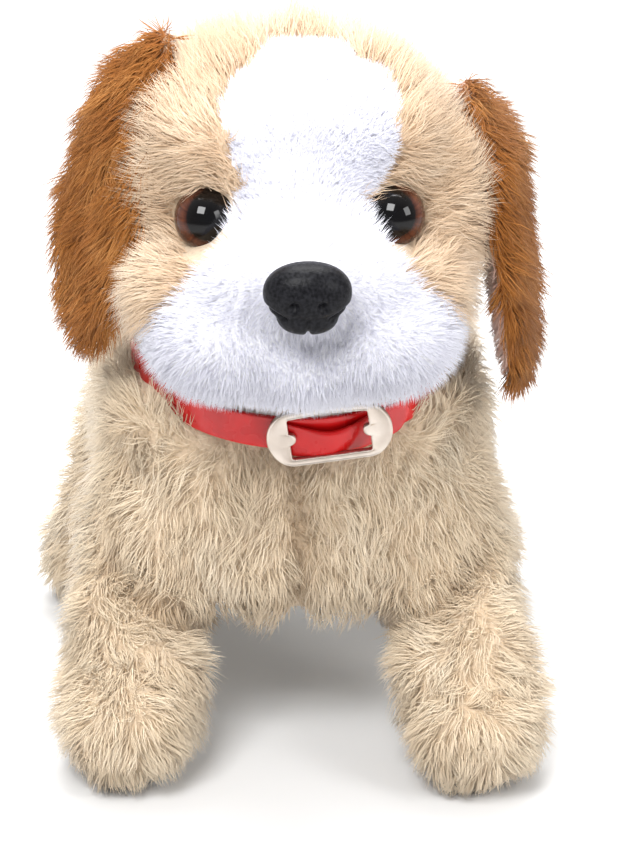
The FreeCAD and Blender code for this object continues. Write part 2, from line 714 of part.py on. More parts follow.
def gearbox():
    """Two plates that carry the motor, the gear pins and the crank axle."""
    first_start = PINION_START + 0.3
    second_start = first_start + GEAR_STEP
    cover_start = second_start + GEAR_STEP * 2 + 1.0
    compound_gear("first_gear", first_start, FIRST_SPOT)
    compound_gear("second_gear", second_start, SECOND_SPOT)
    holes = {"plate": [along_x("plate_nose_hole", 3.1, 0, 20, d["motor_spot"], MECH)], "cover": []}
    pins = []
    for spot in (FIRST_SPOT, SECOND_SPOT):
        pins.append(along_x("gear_pin", 1.0, MOTOR_PLATE, cover_start + PLATE_WIDE, spot, MECH))
        for half in holes:
            holes[half].append(along_x("pin_hole", 1.0, 0, 40, spot, MECH))
    finished(group("gear_pin_pair", pins), "gear_pins")
    for half, start in (("plate", MOTOR_PLATE), ("cover", cover_start)):
        holes[half].append(along_x("crank_hole", d["crank_axle_radius"] + RUN, 0, 40,
                                   CRANK_SPOT, MECH))
        plate = box("gear_plate_" + half, PLATE_WIDE, PLATE_REAR - PLATE_FRONT, PLATE_HALF * 2,
                    start, PLATE_FRONT, MECH - PLATE_HALF)
        if half == "cover":
            reach = cover_start - MOTOR_PLATE - PLATE_WIDE + 0.5
            legs = [box("cover_leg", reach, 1.8, PLATE_HALF * 2, MOTOR_PLATE + PLATE_WIDE, y,
                        MECH - PLATE_HALF) for y in (PLATE_FRONT, PLATE_REAR - 1.8)]
            plate = fuse("gearbox_cover_all", [plate] + legs)
        label = "motor_plate" if half == "plate" else "gearbox_cover"
        finished(cut(label + "_cut", plate, fuse(label + "_holes", holes[half])), label)

    wheel = new_body("crank_wheel", second_start + d["gear_face"] + 0.3, CRANK_SPOT, MECH, ON_SIDE)
    toothed_ring(wheel, d["crank_teeth"], 0, d["gear_face"], 0.5)
    bored(wheel, d["crank_axle_radius"], GEAR_STEP * 2)
    finished(wheel, "crank_gear")


def cranks():
    """The cross axle and, outside the case, a disc with a short pin on each end."""
    reach = HUB_INNER + d["crank_disc_thick"]
    finished(along_x("cross_axle", d["crank_axle_radius"], -reach, reach, CRANK_SPOT, MECH),
             "crank_axle")
    for side, sign in SIDES:
        disc_low, disc_high = mirrored_span(sign, HUB_INNER, reach)
        pin_low, pin_high = mirrored_span(sign, HUB_INNER + 1, PIN_END)
        disc = along_x("crank_plate_" + side, d["crank_throw"] + 3, disc_low, disc_high,
                       CRANK_SPOT, MECH)
        pin = along_x("crank_stub_" + side, 1.5, pin_low, pin_high,
                      CRANK_SPOT, MECH + d["crank_throw"] * sign)
        bore = along_x("crank_bore_" + side, d["crank_axle_radius"], disc_low - 1, disc_high + 1,
                       CRANK_SPOT, MECH)
        finished(cut("crank_cut_" + side, fuse("crank_all_" + side, [disc, pin]), bore),
                 "crank_" + side)


def electronics():
    """The circuit board with its parts, and the speaker behind its grille."""
    body = new_body("board_plate", 0, 38, 64, FACING_FRONT)
    outline = new_sketch(body)
    rectangle_in(outline, 32, 17)
    pad(body, outline, 1.2)
    for x in (-13.5, 13.5):
        hole = new_sketch(body, x, 5.5, 0)
        circle_in(hole, 1.2)
        pocket(body, hole, 2, forwards=True)
    finished(body, "circuit_board")
    chip = centred_box("sound_chip", 8, 1.2, 8, -4, 36.2, 60)
    capacitor = along_y("capacitor", 2.0, 31.6, 36.8, 8, 62)
    driver = centred_box("driver_chip", 4, 1.0, 5, 8, 36.3, 66)
    finished(group("board_parts_all", [chip, capacitor, driver]), "board_components")

    frame = along_x("speaker_rim", SPEAKER_RADIUS, -CASE_SIDE + d["case_wall"] + GAP,
                    -CASE_SIDE + 4.2, SPEAKER_SPOT, MECH)
    magnet = along_x("speaker_magnet", 5, -CASE_SIDE + 4, -CASE_SIDE + 7.5, SPEAKER_SPOT, MECH)
    dish = along_x("speaker_dish", SPEAKER_RADIUS - 1.2, -CASE_SIDE + 1, -CASE_SIDE + 2.9,
                   SPEAKER_SPOT, MECH)
    finished(cut("speaker_cut", fuse("speaker_all", [frame, magnet]), dish), "speaker")


# ---------------------------------------------------------------- legs

def leg_shapes(leg, side, sign):
    """One leg: its plastic arm on the hip pin, and the stuffed leg round the arm."""
    front = leg == "front"
    hip_y = d[leg + "_hip"]
    hip_z = d["hip_height"]
    name = f"{leg}_{side}"
    lever_start = FRONT_LEVER if front else REAR_LEVER
    low, high = mirrored_span(sign, HUB_INNER, HUB_OUTER)
    lever_low, _ = mirrored_span(sign, lever_start, lever_start + d["arm_thick"])

    to_crank_y = CRANK_SPOT - hip_y
    to_crank_z = MECH - hip_z
    lever_length = math.hypot(to_crank_y.number, to_crank_z.number)
    lever_angle = math.degrees(math.atan2(to_crank_z.number, to_crank_y.number))
    paw_y = d[leg + "_paw_spot"]
    to_paw_y = (paw_y - hip_y).number
    to_paw_z = 10 - hip_z.number
    limb_length = math.hypot(to_paw_y, to_paw_z)
    limb_angle = math.degrees(math.atan2(to_paw_z, to_paw_y))

    arm = new_body("arm_" + name, 0, hip_y, hip_z, ON_SIDE)
    hub = new_sketch(arm, z=low)
    circle_in(hub, d["hip_pin_radius"] + 3)
    pad(arm, hub, high - low)
    lever = new_sketch(arm, z=lever_low, turn_deg=lever_angle)
    stadium_in(lever, lever_length + 7, d["lever_half_width"])
    pad(arm, lever, d["arm_thick"])
    limb = new_sketch(arm, z=low, turn_deg=limb_angle)
    stadium_in(limb, limb_length, d["limb_half_width"])
    pad(arm, limb, high - low)
    doc.recompute()
    bored(arm, d["hip_pin_radius"] + RUN, high - low + 2, low - 1)
    slot = new_sketch(arm, math.cos(math.radians(lever_angle)) * (lever_length - 6),
                      math.sin(math.radians(lever_angle)) * (lever_length - 6),
                      lever_low - 1, lever_angle)
    stadium_in(slot, 12, 1.6)
    pocket(arm, slot, d["arm_thick"] + 2, forwards=True)
    finished(arm, name + "_leg_arm")

    spread = d[leg + "_paw_spread"] * sign
    round_z = d["paw_half_length"] * 0.8
    paw = ellipsoid("paw_" + name, d["paw_half_width"], d["paw_half_length"], round_z,
                    spread, paw_y, round_z - 6)
    shank_tilt = 12 if front else -6
    shank = ellipsoid("shank_" + name, d["paw_half_width"] - 1, d["paw_half_length"] - 3, 24,
                      spread - sign * 1.5, (paw_y + hip_y) / 2 + (0 if front else 2), 24,
                      Rotation(Vector(1, 0, 0), -shank_tilt))
    keep = centred_box("leg_band_" + name, 60, 90, d["leg_top"], spread, paw_y, 0)
    form = common("leg_form_" + name, fuse("leg_mass_" + name, [paw, shank]), keep)
    case_room = centred_box("leg_case_room_" + name, CASE_SIDE * 2 + 3, 120, 30, 0, hip_y, 31)
    tools = fuse("leg_tools_" + name, [arm, case_room])
    finished(cut("leg_plush_" + name, form, tools), name + "_leg_plush")


def legs():
    for leg in ("front", "rear"):
        for side, sign in SIDES:
            leg_shapes(leg, side, sign)
    screws = []
    for hip in ("front_hip", "rear_hip"):
        for side, sign in SIDES:
            start = HUB_OUTER + GAP
            low, high = mirrored_span(sign, start, start + 1.0)
            head = along_x("leg_screw_head", 5.0, low, high, d[hip], d["hip_height"])
            low, high = mirrored_span(sign, start - 7, start + 0.5)
            shank = along_x("leg_screw_shank", SCREW_RADIUS, low, high, d[hip], d["hip_height"])
            screws.append(fuse("leg_screw", [head, shank]))
    finished(group("leg_screw_set", screws), "leg_screws")


# ---------------------------------------------------------------- neck and head

def neck():
    """The fixed neck bracket on the case, and the pin that the head nods on."""
    spot = d["neck_spot"]
    height = d["neck_height"]
    flange = centred_box("neck_flange", 20, 15, 2, 0, spot + 0.5, CASE_TOP - d["case_wall"] - 2.1)
    post = centred_box("neck_post", 10, 12, height - CASE_TOP + 4, 0, spot, CASE_TOP - 4)
    knuckle = along_x("neck_knuckle", 6, -5, 5, spot, height)
    way = along_x("neck_way", d["neck_pin_radius"] + RUN, -12, 12, spot, height)
    finished(cut("neck_cut", fuse("neck_all", [flange, post, knuckle]), way), "neck_bracket")
    finished(along_x("neck_axle", d["neck_pin_radius"], -8.6, 8.6, spot, height), "neck_pin")


def head_form(name, grow=0):
    """The stuffed head's outer form, or one that stands proud of it."""
    return ellipsoid(name, d["head_half_width"] + grow, d["head_half_depth"] + grow,
                     d["head_half_height"] + grow, 0, d["head_spot"], d["head_height"])


def skull_form(name, grow=0):
    return ellipsoid(name, d["skull_half_width"] + grow, d["skull_half_depth"] + grow,
                     d["skull_half_height"] + grow, 0, d["head_spot"], d["head_height"] - 1)


def skull():
    """The hollow skull in a front and a rear half, with the neck lugs on the rear one."""
    spot = d["neck_spot"]
    height = d["neck_height"]
    lugs = []
    for side, sign in SIDES:
        low, high = mirrored_span(sign, 5.3, 8.6)
        lugs.append(along_x("neck_lug_" + side, 5, low, high, spot, height))
        lugs.append(box("neck_lug_stem_" + side, high - low, 10, 12, low, spot - 5, height))
    shell = cut("skull_shell", skull_form("skull_outer"), skull_form("skull_inner", -d["skull_wall"]))
    bore = along_x("lug_bore", d["neck_pin_radius"], -12, 12, spot, height)
    neck_way = centred_box("skull_neck_way", 10.6, 17, 24, 0, spot, height - 8)
    rear_half = centred_box("skull_rear_half", 90, 60, 90, 0, d["head_spot"] + 30, height - 20)
    front_half = centred_box("skull_front_half", 90, 60, 90, 0, d["head_spot"] - 30, height - 20)
    inside = skull_form("skull_inside", -d["skull_wall"] - 0.5)
    stems = cut("lugs_outside", fuse("lug_set", lugs), inside)
    posts = []
    threads = []
    for side, sign in SIDES:
        x = 17 * sign
        posts.append(along_y("skull_post", 3, d["head_spot"] - 14, d["head_spot"] + 14, x,
                             d["head_height"] + 6))
        threads.append(along_y("skull_thread", SCREW_RADIUS, d["head_spot"] - 8,
                               d["head_spot"] + 30, x, d["head_height"] + 6))
    posts_inside = common("skull_posts", fuse("skull_post_set", posts), skull_form("skull_room", -0.5))
    whole = fuse("skull_whole", [shell, stems, posts_inside])
    stem_ways = [eye_stem_way(sign, EYE_STEM_RADIUS + 0.1) for side, sign in SIDES]
    holes = fuse("skull_holes", [bore, neck_way] + threads + stem_ways)
    drilled = cut("skull_drilled", whole, holes)
    finished(common("skull_rear", drilled, rear_half), "head_shell_rear")
    finished(common("skull_front", drilled, front_half), "head_shell_front")
    screws = [along_y("head_screw", SCREW_RADIUS, d["head_spot"] - 7, d["head_spot"] + 16,
                      17 * sign, d["head_height"] + 6) for side, sign in SIDES]
    finished(group("head_screw_pair", screws), "head_screws")


def muzzle_form(name, grow=0):
    """Jowls below and a narrower bridge above."""
    jowls = ellipsoid(name + "_jowls", d["muzzle_half_width"] + grow, 21 + grow, 13.5 + grow,
                      0, d["muzzle_spot"], d["muzzle_height"])
    bridge = ellipsoid(name + "_bridge", 18 + grow, 21 + grow, 15.5 + grow,
                       0, d["muzzle_spot"] + 1, d["muzzle_height"] + 9.5)
    return fuse(name, [jowls, bridge])


EYE_TURN_DEG = 14
EYE_STEM_RADIUS = 1.6


def eye_turn(sign):
    """Each eye faces forwards and a little outwards."""
    return Rotation(Vector(0, 0, 1), EYE_TURN_DEG * sign) * FACING_FRONT


def eye_stem_way(sign, radius):
    """A hole for an eye's stem, from the eye's back plane inwards."""
    back = eye_turn(sign) * Rotation(Vector(1, 0, 0), 180)
    return cylinder("eye_stem_way", radius, 18, d["eye_spread"] * sign, d["eye_spot"],
                    d["eye_height"], back)


def face():
    """The stuffed head, white forehead patch and muzzle, eyes and nose."""
    eye_tools = []
    for side, sign in SIDES:
        socket = cylinder("eye_socket_" + side, d["eye_radius"] + 0.4, 16, d["eye_spread"] * sign,
                          d["eye_spot"] + 1.4, d["eye_height"], eye_turn(sign))
        eye_tools += [socket, eye_stem_way(sign, EYE_STEM_RADIUS + 0.1)]
        eye(side, sign)
    neck_room = centred_box("head_neck_room", 26, 34, 20, 0, d["neck_spot"], d["neck_height"] - 8)
    tools = [skull_form("head_skull_room", 0.2), neck_room] + eye_tools
    finished(cut("head_cut", head_form("head_outer"), fuse("head_tools", tools)), "head_plush")

    patch_zone = centred_box("patch_zone", 34, 60, 26, 0, d["head_spot"] - 28,
                             d["head_height"] + 6.5)
    raised = common("patch_raised", head_form("patch_outer", 1.4), patch_zone)
    finished(cut("patch_cut", raised, head_form("patch_inner", 0.05)), "forehead_patch")

    nose_body()
    front_zone = centred_box("muzzle_zone", 90, 60, 70, 0, d["head_spot"] - 42, 80)
    muzzle_tools = [head_form("muzzle_head", 1.45), nose_form("nose_room", 0.15)]
    muzzle_tools += eye_rooms()
    trimmed = common("muzzle_front", muzzle_form("muzzle_mound"), front_zone)
    finished(cut("muzzle_cut", trimmed, fuse("muzzle_tools", muzzle_tools)), "muzzle_plush")


def eye_rooms():
    """Space that the muzzle leaves round the eyes."""
    rooms = []
    for side, sign in SIDES:
        rooms.append(cylinder("eye_room_" + side, d["eye_radius"] + 0.5, 30, d["eye_spread"] * sign,
                              d["eye_spot"] + 1.4, d["eye_height"], eye_turn(sign)))
    return rooms


def eye(side, sign):
    """A clear dome over a coloured disc, and the disc's stem into the skull."""
    x = d["eye_spread"] * sign
    turn = eye_turn(sign)
    place_args = (x, d["eye_spot"], d["eye_height"], turn)
    ball = doc.addObject("Part::Sphere", "eye_ball_" + side)
    bind(ball, "Radius", d["eye_radius"])
    place(ball, *place_args)
    front = cylinder("eye_front_" + side, d["eye_radius"] + 1, 12, *place_args)
    dome = common("eye_dome_" + side, ball, front)
    disc_room = cylinder("eye_disc_room_" + side, d["eye_radius"] - 0.6, 1.6, *place_args)
    finished(cut("eye_lens_" + side, dome, disc_room), "eye_" + side)
    disc = cylinder("eye_iris_" + side, d["eye_radius"] - 0.65, 1.5, *place_args)
    back = turn * Rotation(Vector(1, 0, 0), 180)
    stem = cylinder("eye_stem_" + side, EYE_STEM_RADIUS, 12, x, d["eye_spot"], d["eye_height"], back)
    finished(fuse("eye_disc_all_" + side, [disc, stem]), "eye_disc_" + side)


def nose_form(name, grow=0):
    """A wide rounded top with a narrower lobe below it."""
    half = d["nose_width"] / 2
    middle = -d["half_span"] + 5.5
    top = ellipsoid(name + "_top", half + grow, 5.5 + grow, 4.7 + grow, 0, middle,
                    d["nose_height"] + 2)
    low = ellipsoid(name + "_low", half * 0.72 + grow, 4.6 + grow, 5.2 + grow, 0, middle + 0.7,
                    d["nose_height"] - 1.9)
    return fuse(name, [top, low])


def nose_body():
    """The nose with its two nostrils, and the stem that holds it."""
    form = nose_form("nose_form")
    drills = []
    for side, sign in SIDES:
        drills.append(along_y("nostril_" + side, 0.9, -d["half_span"] - 1, -d["half_span"] + 3.6,
                              2.9 * sign, d["nose_height"] - 0.6))
    finished(cut("nose_cut", form, fuse("nostrils", drills)), "nose")


# Side, sign of x, x of the flap's middle, outward lean in degrees, how much lower it hangs.
EAR_PLACES = (("right", -1, 42.5, 14, 0), ("left", 1, 44.0, 7, 8.5))


def ears():
    """Two hanging ear flaps, the left one sewn on a little lower than the right one."""
    for side, sign, spread, lean, drop in EAR_PLACES:
        flap = ellipsoid("ear_flap_" + side, d["ear_half_thick"], d["ear_half_depth"],
                         d["ear_half_length"], spread * sign, d["ear_spot"],
                         d["head_height"] - 1.5 - drop, Rotation(Vector(0, 1, 0), -lean * sign))
        room = head_form("ear_head_room_" + side, 0.8)
        finished(cut("ear_cut_" + side, flap, room), "ear_" + side)


# ---------------------------------------------------------------- trunk, collar, tail

def trunk_form():
    """A softly rounded block for back, chest, flanks and rump."""
    length = d["trunk_rear"] - d["trunk_front"]
    body = new_body("trunk_block", 0, (d["trunk_front"] + d["trunk_rear"]) / 2, d["trunk_bottom"])
    outline = new_sketch(body)
    rectangle_in(outline, d["trunk_half_width"] * 2, length)
    block = pad(body, outline, d["trunk_top"] - d["trunk_bottom"])
    doc.recompute()
    every_edge = [f"Edge{number}" for number in range(1, len(block.Shape.Edges) + 1)]
    fillet(body, block, d["trunk_round"], every_edge)
    doc.recompute()
    return body


def neck_mound():
    """The stuffed neck inside the collar."""
    turn = Rotation(Vector(1, 0, 0), d["collar_tilt"].number)
    return oval_drum("neck_drum", d["collar_half_width"] - 0.8, d["collar_half_length"] - 0.8,
                     d["collar_band"] * 1.6, turn)


# Space left all round the stuffed head, so that it can nod.
NOD_ROOM = 3.8


def trunk():
    """The stuffed trunk and neck over the mechanism's space."""
    outer = fuse("trunk_outer", [trunk_form(), neck_mound()])

    room_half = HUB_OUTER + GAP * 2 + 1.3
    tools = [
        centred_box("trunk_room", room_half * 2, d["case_length"] + GAP * 4, CASE_TOP + GAP - 25,
                    0, d["case_middle"], 25),
        centred_box("trunk_neck_room", 20, 24, 30, 0, d["neck_spot"], CASE_TOP - 10),
        centred_box("trunk_tail_room", 22, 40, 14, 0, CASE_REAR + 15, d["tail_height"] - 7),
        collar_loop("collar_room", 0.4),
        head_form("trunk_head_room", NOD_ROOM),
    ]
    for leg in ("front", "rear"):
        for side, sign in SIDES:
            x = (d[leg + "_paw_spread"] + 4) * sign
            tools.append(centred_box(f"leg_room_{leg}_{side}", 48, 58, 36.5, x,
                                     (d[leg + "_hip"] + d[leg + "_paw_spot"]) / 2, 10))
    finished(cut("trunk_cut", outer, fuse("trunk_tools", tools)), "trunk_plush")


def collar_loop(name, grow=0):
    """The strap's loop, or a wider groove of the same line."""
    turn = Rotation(Vector(1, 0, 0), d["collar_tilt"].number)
    thick = d["collar_thick"]
    band = d["collar_band"]
    outer = oval_drum(name + "_outer", d["collar_half_width"] + thick + grow,
                      d["collar_half_length"] + thick + grow, band + grow * 2, turn)
    inner = oval_drum(name + "_inner", d["collar_half_width"] - grow,
                      d["collar_half_length"] - grow, band + grow * 2 + 4, turn)
    return cut(name, outer, inner)


def oval_drum(name, half_x, half_y, height, turn):
    """An elliptical drum centred on the collar's middle."""
    profile = doc.addObject("Part::Ellipse", name + "_profile")
    bind(profile, "MajorRadius", half_y)
    bind(profile, "MinorRadius", half_x)
    drum = doc.addObject("Part::Extrusion", name)
    drum.Base = profile
    drum.DirMode = "Custom"
    drum.Dir = Vector(0, 0, 1)
    drum.Solid = True
    bind(drum, "LengthFwd", height / 2)
    bind(drum, "LengthRev", height / 2)
    return place(drum, 0, d["collar_spot"], d["collar_height"], turn * Rotation(Vector(0, 0, 1), 90))


# The buckle sits a little to the puppy's left, and that end of it is the higher one.
BUCKLE_ASIDE = 6
BUCKLE_ROLL_DEG = 8


def collar():
    """The red strap and, in front of it, the buckle plate with its window."""
    finished(collar_loop("collar_band_loop"), "collar_strap")

    tilt = d["collar_tilt"].number
    front = d["collar_half_length"].number + d["collar_thick"].number
    front_y = d["collar_spot"] - front * math.cos(math.radians(tilt)) - 1.5
    front_z = d["collar_height"] - front * math.sin(math.radians(tilt))
    roll = Rotation(Vector(0, 1, 0), -BUCKLE_ROLL_DEG)
    turn = Rotation(Vector(1, 0, 0), tilt) * roll * FACING_FRONT
    body = new_body("buckle_plate", BUCKLE_ASIDE, front_y, front_z, turn)
    outline = new_sketch(body)
    rectangle_in(outline, d["buckle_width"], d["buckle_height"])
    plate = pad(body, outline, 1.2)
    doc.recompute()
    fillet(body, plate, 4.6, edges_along(plate.Shape, Vector(0, 0, 1)))
    window = new_sketch(body)
    rectangle_in(window, d["buckle_width"] - 9.4, d["buckle_height"] - 3.4)
    pocket(body, window, 3, forwards=True)
    finished(body, "collar_buckle")


def tail():
    """The bracket behind the case, the wagging lever on its upright pin, the stuffed tail."""
    spot = d["tail_pin_spot"]
    height = d["tail_height"]
    flange = centred_box("tail_flange", 14, 1.6, 8, 0, CASE_REAR - 2.6, height - 4)
    block = box("tail_block", 10, spot + 5 - CASE_REAR + 2, 12, -5, CASE_REAR - 2, height - 6)
    gap_box = box("tail_gap", 12, 20, 6, -6, CASE_REAR + 2.5, height - 3)
    way = cylinder("tail_way", 1.5, 20, 0, spot, height - 10)
    tools = fuse("tail_tools", [gap_box, way])
    finished(cut("tail_bracket_cut", fuse("tail_all", [flange, block]), tools), "tail_bracket")
    finished(cylinder("tail_axle", 1.5, 12, 0, spot, height - 6), "tail_pin")

    rod_end = spot + 18
    knuckle = cylinder("tail_knuckle", 4, 5.4, 0, spot, height - 2.7)
    rod = box("tail_rod", 5, 18, 5.4, -2.5, spot, height - 2.7)
    bore = cylinder("tail_bore", 1.5 + RUN, 20, 0, spot, height - 10)
    lever = cut("tail_lever_cut", fuse("tail_lever_all", [knuckle, rod]), bore)
    finished(lever, "tail_lever")

    tip = d["tail_tip_radius"]
    tip_y = d["half_span"] - tip
    ball = doc.addObject("Part::Sphere", "tail_ball")
    bind(ball, "Radius", tip)
    place(ball, 0, tip_y, height + 24)
    root_z = height - 1
    cone = doc.addObject("Part::Cone", "tail_cone")
    bind(cone, "Radius1", 10)
    bind(cone, "Radius2", tip)
    bind(cone, "Height", height + 24 - root_z)
    place(cone, 0, tip_y - 3.4, root_z, Rotation(Vector(1, 0, 0), -7.8))
    rod_tool = box("tail_rod_tool", 5, 18, 5.4, -2.5, spot, height - 2.7)
    stuffed = cut("tail_stuffed", fuse("tail_form", [ball, cone]), rod_tool)
    finished(stuffed, "tail_plush")


# ---------------------------------------------------------------- the whole puppy

def write_parts():
    """Checks every object, then writes one STEP file for each sub-part."""
    doc.recompute()
    for item in doc.Objects:
        if "Invalid" in item.State or "Error" in item.State:
            raise RuntimeError(f"{item.Name} failed: {item.State}")
    os.makedirs("parts", exist_ok=True)
    for item in subparts:
        shape = item.Shape
        if shape.isNull() or not shape.isValid() or not shape.Solids:
            raise RuntimeError(f"{item.Label} has no valid solid")
        shape.exportStep(f"parts/{item.Label}.step")
        bounds = shape.BoundBox
        print(f"{item.Label:24s} solids {len(shape.Solids)}  volume {shape.Volume:9.1f}  "
              f"x {bounds.XMin:6.1f} {bounds.XMax:6.1f}  y {bounds.YMin:6.1f} {bounds.YMax:6.1f}  "
              f"z {bounds.ZMin:6.1f} {bounds.ZMax:6.1f}")


case()
battery_box()
battery_cells()
battery_contacts()
battery_door()
power_switch()
motor()
gearbox()
cranks()
electronics()
legs()
neck()
skull()
face()
ears()
trunk()
collar()
tail()
write_parts()
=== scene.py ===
import math

import bmesh
import bpy
import numpy as np
from mathutils import Euler, Matrix, Vector, kdtree


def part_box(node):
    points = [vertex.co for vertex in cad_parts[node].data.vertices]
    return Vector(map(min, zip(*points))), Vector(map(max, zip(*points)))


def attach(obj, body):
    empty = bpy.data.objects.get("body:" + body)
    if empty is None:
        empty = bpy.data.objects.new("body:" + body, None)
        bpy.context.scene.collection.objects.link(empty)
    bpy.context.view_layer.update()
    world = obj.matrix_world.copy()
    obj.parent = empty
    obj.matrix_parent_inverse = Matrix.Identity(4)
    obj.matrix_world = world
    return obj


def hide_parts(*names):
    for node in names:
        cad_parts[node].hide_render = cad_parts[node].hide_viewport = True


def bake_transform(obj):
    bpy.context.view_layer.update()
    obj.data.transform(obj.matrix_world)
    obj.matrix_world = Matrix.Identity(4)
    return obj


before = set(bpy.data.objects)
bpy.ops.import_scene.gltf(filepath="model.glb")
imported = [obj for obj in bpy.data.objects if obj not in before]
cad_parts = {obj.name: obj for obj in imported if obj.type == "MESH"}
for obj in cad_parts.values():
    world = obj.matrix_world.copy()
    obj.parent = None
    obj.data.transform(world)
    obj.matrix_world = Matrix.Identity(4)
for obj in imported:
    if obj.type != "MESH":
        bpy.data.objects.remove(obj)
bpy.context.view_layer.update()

# Looks of the walking plush puppy. Lengths in this file are millimetres unless
# a name says otherwise, and MM turns them into the scene's metres. The puppy
# faces -Y and its own left side is +X.
#
# Every stuffed piece is a closed skin: overlapping rounded forms welded into
# one, swelled by a short cloth simulation that holds the seams, and then
# covered with a coat of separate tapered strands. Hard pieces are modelled
# on the CAD nodes they replace, and every other CAD node gets a material.

MM = 0.001
SKIN_VOXEL = 1.8
STUFFING_PRESSURE, STUFFING_FRAMES = 4.0, 12
SOFT_LIGHT = 1.6  # how strongly a strand's shading leans to the skin under it
GROUND_GAP = 0.3  # the lowest height that pile reaches
FUR_UV = "OFBake"


# ---------------------------------------------------------------- numbers and noise

def ripple(points, wavelength, seed):
    """Smooth repeatable noise between about -1 and 1 at points in millimetres."""
    dice = np.random.default_rng(seed)
    total = np.zeros(len(points))
    for _ in range(7):
        direction = dice.normal(size=3)
        direction *= dice.uniform(0.7, 1.5) / np.linalg.norm(direction)
        phase = dice.uniform(0, 2 * math.pi)
        total += np.sin(points @ direction * 2 * math.pi / wavelength + phase)
    return total / 3.0


def swirl(points, wavelength, seed):
    """A direction that wanders from place to place, as in a coat's cowlicks."""
    return np.stack([ripple(points, wavelength, seed + axis) for axis in range(3)], axis=1)


def unit(vectors):
    """The same vectors at length one."""
    lengths = np.linalg.norm(vectors, axis=-1, keepdims=True)
    return vectors / np.maximum(lengths, 1e-9)


def ease(low, high, value):
    """0 below low, 1 above high, and a smooth rise between them."""
    t = np.clip((value - low) / (high - low), 0, 1)
    return t * t * (3 - 2 * t)


def hill(distance, width):
    """1 at distance 0, falling off smoothly over about width."""
    return np.exp(-(distance / width) ** 2)


# ---------------------------------------------------------------- meshes

def linked(name, mesh):
    """A new object in the scene's own collection."""
    obj = bpy.data.objects.new(name, mesh)
    bpy.context.scene.collection.objects.link(obj)
    return obj


def mesh_object(name, points, faces):
    """A smooth-shaded mesh object from points in millimetres."""
    mesh = bpy.data.meshes.new(name)
    mesh.from_pydata((np.asarray(points) * MM).tolist(), [], faces)
    mesh.update()
    mesh.shade_smooth()
    return linked(name, mesh)


def points_of(mesh):
    flat = np.empty(len(mesh.vertices) * 3)
    mesh.vertices.foreach_get("co", flat)
    return flat.reshape(-1, 3) / MM


def set_points(mesh, points):
    mesh.vertices.foreach_set("co", (points * MM).ravel())
    mesh.update()


def normals_of(mesh):
    flat = np.empty(len(mesh.vertices) * 3, np.float32)
    mesh.vertex_normals.foreach_get("vector", flat)
    return flat.reshape(-1, 3).astype(float)


def applied(obj):
    """The object with its modifiers worked into its mesh."""
    graph = bpy.context.evaluated_depsgraph_get()
    mesh = bpy.data.meshes.new_from_object(obj.evaluated_get(graph))
    old = obj.data
    obj.modifiers.clear()
    obj.data = mesh
    bpy.data.meshes.remove(old)
    mesh.name = obj.name
    mesh.shade_smooth()
    return obj


def unit_ball(detail):
    """Points and faces of a sphere of radius one."""
    bm = bmesh.new()
    bmesh.ops.create_icosphere(bm, subdivisions=detail, radius=1.0)
    points = np.array([v.co for v in bm.verts])
    faces = [[v.index for v in f.verts] for f in bm.faces]
    bm.free()
    return points, faces


BALL = unit_ball(4)


def oval(centre, radii, power=2.0, turn_deg=(0, 0, 0)):
    """A rounded form: an ellipsoid, or with a higher power a softly boxed one."""
    points, faces = BALL
    span = (np.abs(points) ** power).sum(axis=1) ** (1 / power)
    shaped = points / span[:, None] * np.array(radii)
    turn = np.array(Euler([math.radians(a) for a in turn_deg]).to_matrix())
    return shaped @ turn.T + np.array(centre), faces


def limb(start, end, start_radius, end_radius, steps=7):
    """Overlapping balls along a line, for a stuffed limb."""
    forms = []
    for t in np.linspace(0, 1, steps):
        centre = np.array(start) * (1 - t) + np.array(end) * t
        radius = start_radius * (1 - t) + end_radius * t
        forms.append(oval(centre, (radius, radius, radius)))
    return forms


def joined(forms):
    """Several closed forms as one set of points and faces."""
    points, faces, offset = [], [], 0
    for form_points, form_faces in forms:
        points.append(form_points)
        faces += [[i + offset for i in face] for face in form_faces]
        offset += len(form_points)
    return np.vstack(points), faces


def tube_faces(rings, count, closed):
    """Four-sided faces between neighbouring rings of count points each."""
    faces = []
    for ring in range(rings if closed else rings - 1):
        after = (ring + 1) % rings
        for step in range(count):
            beside = (step + 1) % count
            faces.append((ring * count + step, ring * count + beside,
                          after * count + beside, after * count + step))
    return faces


def welded(name, forms, voxel=SKIN_VOXEL, easing=12):
    """One closed, smooth skin round overlapping forms."""
    obj = mesh_object(name, *joined(forms))
    weld = obj.modifiers.new("weld", "REMESH")
    weld.mode = "VOXEL"
    weld.voxel_size = voxel * MM
    smooth = obj.modifiers.new("smooth", "SMOOTH")
    smooth.factor = 0.5
    smooth.iterations = easing
    return applied(obj)


def reshape(obj, change):
    """Moves each point of a skin by what change(points, normals) returns."""
    points = points_of(obj.data)
    set_points(obj.data, points + change(points, normals_of(obj.data)))
    return obj


